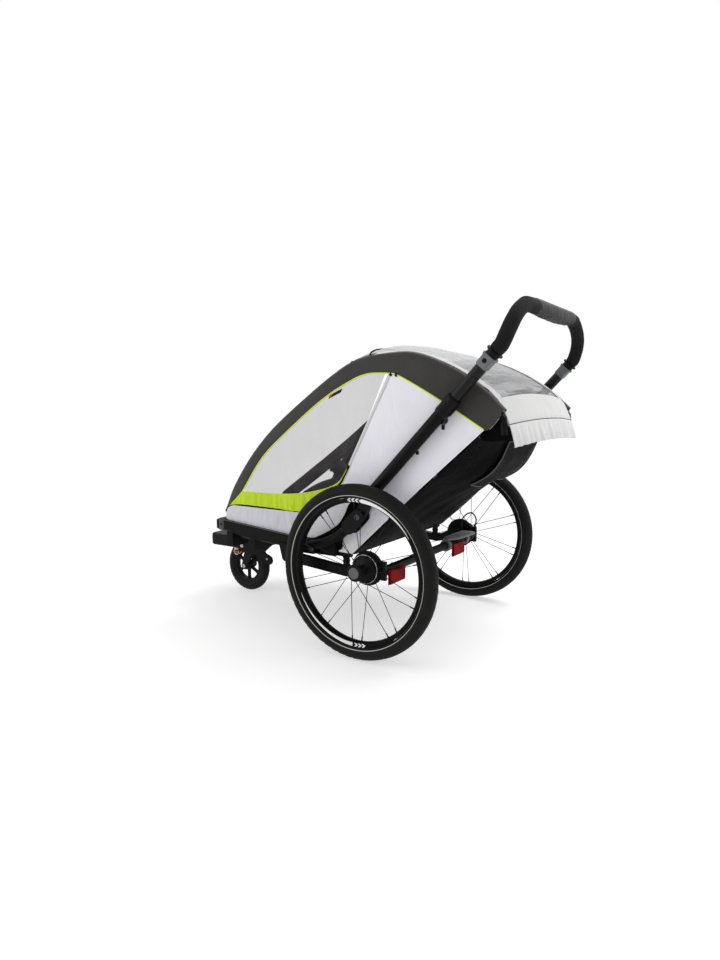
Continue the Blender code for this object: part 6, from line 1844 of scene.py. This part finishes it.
def make_rails():
    """The frame with rails that climb slightly towards the front, and a grey trim along their tops."""
    bm = copied("floor_frame")
    for x in (-0.57, -0.54, -0.50, -0.46, -0.43, -0.40, -0.37, -0.33, -0.29, -0.25, -0.20):
        parts = bm.verts[:] + bm.edges[:] + bm.faces[:]
        bmesh.ops.bisect_plane(bm, geom=parts, plane_co=(x, 0, 0), plane_no=(1, 0, 0))
    for v in bm.verts:
        share = min(1.0, max(0.0, (v.co.z - 0.272) / 0.036)) if v.co.z < 0.33 else max(0.0, (0.350 - v.co.z) / 0.02)
        near = min(1.0, max(0.0, (v.co.z - 0.250) / 0.014))
        foot, top = height_at(RAIL_FOOT_RISE, v.co.x), height_at(RAIL_TOP_RISE, v.co.x)
        v.co.z += near * (foot + share * (top - foot)) if v.co.z < 0.33 else share * top
    made("rails_and_beams", bm, TUBE_PAINT, "chassis", "floor_frame")
    for name, side in SIDES:
        trim = [Vector((x, side * (RAIL_OUTER - 0.0006), RAIL_TOP + height_at(RAIL_TOP_RISE, x) + 0.0004))
                for x in spread(-0.564, -0.215, 60)]
        made(f"rail_edge_{name}", tube(trim, 0.0019, 8), CAP_LOOK, "chassis")


def make_corner_cap(name, side):
    """Rounded grey corner over the front end of a rail."""
    front, rear, outer, inner = -0.5945, -0.5630, 0.3190, 0.2700
    bm = bmesh.new()
    rings = []
    for z, inset in ((0.3015, 0.0024), (0.3030, 0.0006), (0.3045, 0.0), (0.3365, 0.0), (0.3385, 0.0006),
                     (0.3400, 0.0020), (0.3408, 0.0044)):
        bend = 0.017 - inset
        plan = arc((front + 0.017, outer - 0.017), bend, 180, 90, 10)
        plan += arc((rear - 0.004, outer - 0.004), 0.004 - min(0.0035, inset), 90, 0, 4)
        plan += [(rear - inset, inner + inset), (front + inset, inner + inset)]
        rings.append([bm.verts.new((x, side * y, z)) for x, y in plan])
    skin(bm, rings)
    made(f"corner_shell_{name}", bm, CAP_LOOK, "chassis", f"corner_cap_{name}", sharp=45)
    screw = [(0.0008, 0.0), (0.0040, 0.0), (0.0040, 0.0010), (0.0032, 0.0018), (0.0016, 0.0018),
             (0.0013, 0.0009), (0.0008, 0.0009)]
    made(f"corner_screw_{name}", turned(screw, 28, (-0.5745, side * 0.3186, 0.3215), side), SATIN_MOULDED,
         "chassis")


def back_point(y, v):
    place = v * (len(BACK) - 1)
    k = min(int(place), len(BACK) - 2)
    p = BACK[k].lerp(BACK[k + 1], place - k)
    ahead = (BACK[k + 1] - BACK[k]).normalized()
    width = BACK_HALF - 0.020 * max(0.0, v - 0.80) / 0.20
    bow = 1 - (y / BACK_HALF) ** 2
    belly = 0.026 * math.sin(math.pi * v) ** 0.7 + 0.036 * math.exp(-(((v - 0.64) / 0.15) ** 2))
    fold = 0.005 * math.sin(26 * y + 7 * v) * math.sin(math.pi * v)
    fold += 0.0022 * math.sin(64 * y - 11 * v + 2 * math.sin(5 * v)) * math.sin(math.pi * v) ** 2
    fold += ripple((y * 1.2, v * 0.25, 0.5), 0.06, 0.0035) * math.sin(math.pi * v)
    out = (belly + fold) * bow
    return Vector((p[0] + ahead[1] * out, y * width / BACK_HALF, p[1] - ahead[0] * out))


def make_back():
    grid = [[back_point(y, v) for y in spread(-BACK_HALF, BACK_HALF, 96)] for v in spread(0.0, 1.0, 90)]
    back = made("trunk_back", cloth_form([row[::-1] for row in grid], 0.0018), TRUNK_CLOTH, None, "back_panel",
                sharp=60)
    declared(across_fold(back))
    seam = [back_point(y, 0.815) + Vector((0.0014, 0, -0.0012)) for y in spread(-BACK_HALF, BACK_HALF, 90)]
    across_fold(made("back_seam", tube(seam, 0.0016, 8), TRUNK_CLOTH, None))
    across_fold(made("back_stitching", stitches([p + Vector((-0.004, 0, -0.0042)) for p in seam]), GREY_THREAD,
                     None))

    def pocket_point(y, v):
        swell = 0.0065 + 0.005 * math.sin(math.pi * (v - 0.56) / 0.26)
        swell += 0.0014 * math.sin(75 * y) * (v - 0.56) / 0.26
        return back_point(y, v) + Vector((swell * 0.73, 0, -swell * 0.68))

    ys, vs = spread(-0.130, 0.130, 40), spread(0.56, 0.82, 24)
    pocket_grid = [[pocket_point(y, v) for y in ys] for v in vs]
    pocket = made("pocket_mesh", cloth_form([row[::-1] for row in pocket_grid], 0.0010), POCKET_NET, None,
                  "mesh_pocket", sharp=60)
    declared(across_fold(pocket))
    starts, ends = [row[0] for row in pocket_grid], [row[-1] for row in pocket_grid]
    rim = pocket_grid[-1] + ends[::-1][1:] + pocket_grid[0][::-1][1:] + starts[1:]
    across_fold(made("pocket_binding", tube(rim, 0.0021, 8), BINDING, None))


def make_gusset(name, side):
    """Black cloth between the side panel, the band's end and the rear flap."""
    top = [Vector(p) for p in ((0.336, 0.652), (0.352, 0.655), (0.372, 0.678), (0.386, 0.700))]
    foot = [Vector(p) for p in ((0.311, 0.628), (0.340, 0.622), (0.375, 0.624), (0.405, 0.632))]
    grid = []
    for v in spread(0.0, 1.0, 16):
        row = []
        for u in spread(0.0, 1.0, 24):
            p = walk(top, u).lerp(walk(foot, u), v)
            y = 0.2900 - 0.012 * v + ripple((p[0], p[1], side), 0.02, 0.0040) * math.sin(math.pi * v)
            row.append(Vector((p[0], side * y, p[1])))
        grid.append(row)
    grid = outward(grid, side > 0)
    gusset = made(f"side_gusset_{name}", cloth_form(grid, 0.0014), TRUNK_CLOTH, None, sharp=60)
    declared(across_fold(gusset))


# Cabin


def pad_form(origin, across, ahead, out, half, length, thick, crown, columns, rows, shrink):
    """Closed crowned pad to be inflated, slightly smaller than the space it fills."""
    bm = bmesh.new()

    def point(u, v, top):
        pull = 1 - 0.035 * math.sin(math.pi * v) ** 2
        tuck = 1 - 0.02 * math.sin(math.pi * (u + 1) / 2) ** 2
        edge = (1 - abs(u) ** 6) * (1 - abs(2 * v - 1) ** 6)
        lift = thick * 0.30 + (crown * 0.7 + thick * 0.62) * edge if top else 0.0015
        along = 0.5 * length + (v - 0.5) * (length - 2 * shrink) * tuck
        return origin + across * (u * (half - shrink) * pull) + ahead * along + out * lift

    us, vs = spread(-1, 1, columns), spread(0, 1, rows)
    top = [[bm.verts.new(point(u, v, True)) for u in us] for v in vs]
    base = [[bm.verts.new(point(u, v, False)) for u in us] for v in vs]
    for i in range(rows):
        for j in range(columns):
            bm.faces.new((top[i][j], top[i][j + 1], top[i + 1][j + 1], top[i + 1][j]))
            bm.faces.new((base[i][j], base[i + 1][j], base[i + 1][j + 1], base[i][j + 1]))
    for j in range(columns):
        bm.faces.new((base[0][j], base[0][j + 1], top[0][j + 1], top[0][j]))
        bm.faces.new((base[rows][j + 1], base[rows][j], top[rows][j], top[rows][j + 1]))
    for i in range(rows):
        bm.faces.new((base[i + 1][0], base[i][0], top[i][0], top[i + 1][0]))
        bm.faces.new((base[i][columns], base[i + 1][columns], top[i + 1][columns], top[i][columns]))
    return bm


def inflated(obj, voxel, cap, floor_at, out):
    """Cloth pressure pass on a pad: remeshed, blown up, and each point's movement capped."""
    for other in bpy.context.selected_objects:
        other.select_set(False)
    bpy.context.view_layer.objects.active = obj
    obj.select_set(True)
    remesh = obj.modifiers.new("remesh", "REMESH")
    remesh.mode = "VOXEL"
    remesh.voxel_size = voxel
    bpy.ops.object.modifier_apply(modifier="remesh")
    rest = [v.co.copy() for v in obj.data.vertices]
    pins = obj.vertex_groups.new(name="rests")
    pins.add([k for k, co in enumerate(rest) if (co - floor_at).dot(out) < 0.003], 1.0, "REPLACE")
    cloth = obj.modifiers.new("cloth", "CLOTH")
    cloth.settings.use_pressure = True
    cloth.settings.uniform_pressure_force = 4.0
    cloth.settings.vertex_group_mass = "rests"
    cloth.settings.effector_weights.gravity = 0.0
    cloth.settings.quality = 5
    scene = bpy.context.scene
    for step in range(1, 21):
        scene.frame_set(step)
    graph = bpy.context.evaluated_depsgraph_get()
    swollen = [v.co.copy() for v in obj.evaluated_get(graph).data.vertices]
    obj.modifiers.remove(cloth)
    scene.frame_set(1)
    for v, before, after in zip(obj.data.vertices, rest, swollen):
        move = after - before
        if move.length > cap:
            move *= cap / move.length
        v.co = before + move
    obj.vertex_groups.clear()


def sewn(obj, origin, across, ahead, out, half, length, lines, depth):
    """Press seams and quilted channels into an inflated pad."""
    for v in obj.data.vertices:
        place = v.co - origin
        u = place.dot(across) / half
        w = place.dot(ahead) / length
        lift = place.dot(out)
        if lift < 0.012:
            continue
        press = 0.0
        for kind, at, width, strength in lines:
            value = u if kind == "across" else w
            press = max(press, strength * math.exp(-(((value - at) / width) ** 2)))
        v.co -= out * depth * press


def back_axes():
    """Way up along the backrest and the way that it faces."""
    lean = Vector((math.cos(BACK_LEAN), 0, math.sin(BACK_LEAN)))
    face = Vector((-math.sin(BACK_LEAN), 0, math.cos(BACK_LEAN)))
    return lean, face


def make_seat():
    half = SEAT_HALF
    origin = Vector((SEAT_FRONT_X + 0.004 + SHIFT, 0, SEAT_SHELF))
    across, ahead, out = Vector((0, 1, 0)), Vector((1, 0, 0)), Vector((0, 0, 1))
    shift = Vector((SHIFT, 0, 0))
    bm = pad_form(origin - shift, across, ahead, out, half, SEAT_DEPTH, SEAT_PAD, SEAT_CROWN, 48, 26, 0.004)
    base = made("seat_pad", bm, SEAT_CLOTH, "chassis", "seat_base", sharp=80)
    inflated(base, 0.006, 0.005, origin, out)
    lines = [("across", 0.0, 0.030, 1.0), ("across", -0.52, 0.012, 0.35), ("across", 0.52, 0.012, 0.35)]
    lines += [("ahead", 0.33, 0.020, 0.30), ("ahead", 0.66, 0.020, 0.30)]
    sewn(base, origin, across, ahead, out, half, SEAT_DEPTH, lines, 0.012)
    lean, face = back_axes()
    foot = Vector((BACK_FOOT[0] + SHIFT, 0, BACK_FOOT[1]))
    bm = pad_form(foot - shift, across, lean, face, half, BACK_LENGTH, BACK_PAD, BACK_CROWN, 48, 34, 0.004)
    back = made("backrest_pad", bm, SEAT_CLOTH, "chassis", "seat_back", sharp=80)
    inflated(back, 0.006, 0.005, foot, face)
    lines = [("across", 0.0, 0.030, 1.0), ("across", -0.52, 0.012, 0.30), ("across", 0.52, 0.012, 0.30)]
    lines += [("ahead", k, 0.016, 0.30) for k in (0.25, 0.50, 0.75)]
    sewn(back, foot, across, lean, face, half, BACK_LENGTH, lines, 0.010)
    for pad in (base, back):
        bend = pad.modifiers.new("rounder", "SUBSURF")
        bend.levels = bend.render_levels = 1
        pad.data.shade_smooth()
    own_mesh(back)


def make_bolster(name, side):
    """Padded side band, pinched in at even steps along its length."""
    line = even([Vector(p) for p in smooth(BOLSTER_LINE, 8)], 60)
    bm = bmesh.new()
    rings = []
    for k, p in enumerate(line):
        ahead = ahead_at(line, k)
        up = Vector((-ahead[1], ahead[0]))
        end = min(1.0, (k + 0.6) / 4, (60 - k + 0.6) / 4)
        ring = []
        for a in full_turn(32):
            wide = squarer(math.cos(a), 0.75) * 0.0185 * end**0.5
            deep = squarer(math.sin(a), 0.9) * 0.0080 * end
            deep *= 1 - 0.16 * math.cos(math.pi * k / 5) ** 8
            q = p + up * wide
            y = side * BOLSTER_Y + deep + ripple((q[0], deep * 3, q[1]), 0.03, 0.0012)
            ring.append(bm.verts.new((q[0], y, q[1])))
        rings.append(ring)
    skin(bm, rings)
    pad = made(f"side_bolster_{name}", bm, PAD_CLOTH, "chassis", f"bolster_{name}", sharp=80)
    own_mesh(pad)


def strap(path, width, across, thick=0.0016):
    """Flat webbing along a path; across is the way its width lies."""
    across = Vector(across).normalized()
    grid = [[p + across * w for w in spread(-width / 2, width / 2, 4)] for p in path]
    return cloth_form(grid, thick)


def make_harness(name, side):
    """Shoulder, lap and crotch straps of one seat place, meeting in its buckle."""
    y = side * SEAT_PLACE
    lean, face = back_axes()
    foot = Vector((BACK_FOOT[0], 0, BACK_FOOT[1]))
    forms, pads = [], []
    for turn in (-1, 1):
        slot = foot + lean * 0.275 + face * 0.046 + Vector((0, y + turn * 0.040, 0))
        mid = foot + lean * 0.140 + face * 0.056 + Vector((0, y + turn * 0.034, 0))
        low = foot + lean * 0.040 + face * 0.060 + Vector((0, y + turn * 0.026, 0))
        path = smooth([slot - face * 0.012, slot, mid, low, Vector((-0.110, y + turn * 0.018, 0.508)),
                       Vector((-0.190, y + turn * 0.010, 0.514)),
                       Vector((BUCKLE_X + 0.004, y + turn * 0.008, 0.540))], 8)
        forms.append(strap(path, 0.020, (0, 1, 0)))
        pad_path = even(path, 60)[8:26]
        rings = bmesh.new()
        loops = []
        for k, p in enumerate(pad_path):
            end = min(1.0, (k + 0.5) / 2, (len(pad_path) - 0.5 - k) / 2)
            ring = []
            ahead = ahead_at(pad_path, k)
            lift = ahead.cross(Vector((0, 1, 0)))
            for a in full_turn(24):
                wide = squarer(math.cos(a), 0.6) * 0.018 * end**0.4
                deep = squarer(math.sin(a), 0.8) * 0.0055 * end**0.5
                ring.append(rings.verts.new(p + Vector((0, wide, 0)) + lift * deep))
            loops.append(ring)
        skin(rings, loops)
        pads.append(rings)
        lap = smooth([Vector((-0.045, y + turn * 0.112, 0.462)), Vector((-0.075, y + turn * 0.104, 0.492)),
                      Vector((-0.140, y + turn * 0.070, 0.508)), Vector((-0.205, y + turn * 0.034, 0.518)),
                      Vector((BUCKLE_X + 0.006, y + turn * 0.020, 0.524))], 8)
        forms.append(strap(lap, 0.018, (0.35, turn * 0.25, 0.9)))
    crotch = smooth([Vector((BUCKLE_X + 0.022, y, 0.474)), Vector((BUCKLE_X + 0.012, y, 0.486)),
                     Vector((BUCKLE_X + 0.003, y, 0.494)), Vector((BUCKLE_X, y, 0.503))], 6)
    made(f"crotch_strap_{name}", strap(crotch, 0.022, (0, 1, 0)), WEBBING, "chassis", sharp=60)
    straps = made(f"harness_straps_{name}", merged(*forms), WEBBING, "chassis", sharp=60)
    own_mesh(straps)
    cover = made(f"shoulder_pads_{name}", merged(*pads), PAD_CLOTH, "chassis", sharp=80)
    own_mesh(cover)


def finish_frame_nodes():
    """Better finishes for the solids that stay."""
    looks = {
        "swing_frame": TUBE_PAINT,
        "canopy_frame": TUBE_PAINT,
        "floor_pan": PAN_LOOK,
        "front_arm": BLACK_MOULDED,
        "caster_fork": BLACK_MOULDED,
        "lock_pin": STEEL,
        "brake_pedal": GREY_MOULDED,
    }
    for name, _ in SIDES:
        looks[f"brake_plate_{name}"] = CAST_LOOK
        looks[f"buckle_{name}"] = SATIN_MOULDED
        looks[f"buckle_button_{name}"] = RED_MOULDED
    for name, look in looks.items():
        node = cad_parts[name]
        node.data.materials.clear()
        node.data.materials.append(look)


make_camera()
make_brake_cable()
make_studio()
for side_name, way in SIDES:
    make_wheel(side_name, way)
    make_hinge_post(side_name, way)
    make_corner_cap(side_name, way)
    make_push_tube(side_name, way)
    make_collar(side_name, way)
    make_handle_side(side_name, way)
    make_side_film(side_name, way)
    make_lime_strip(side_name, way)
    make_side_panel(side_name, way)
    make_post_shadow_sheet(side_name, way)
    make_side_tab(side_name, way)
    make_gusset(side_name, way)
    make_bolster(side_name, way)
    make_harness(side_name, way)
make_caster()
make_arm_details()
make_fork_details()
make_reflectors()
make_brake_details()
make_handle()
make_band()
make_rolled_cover()
make_roof()
make_flap()
make_skirt()
make_buffers()
make_rails()
make_back()
make_seat()
finish_frame_nodes()
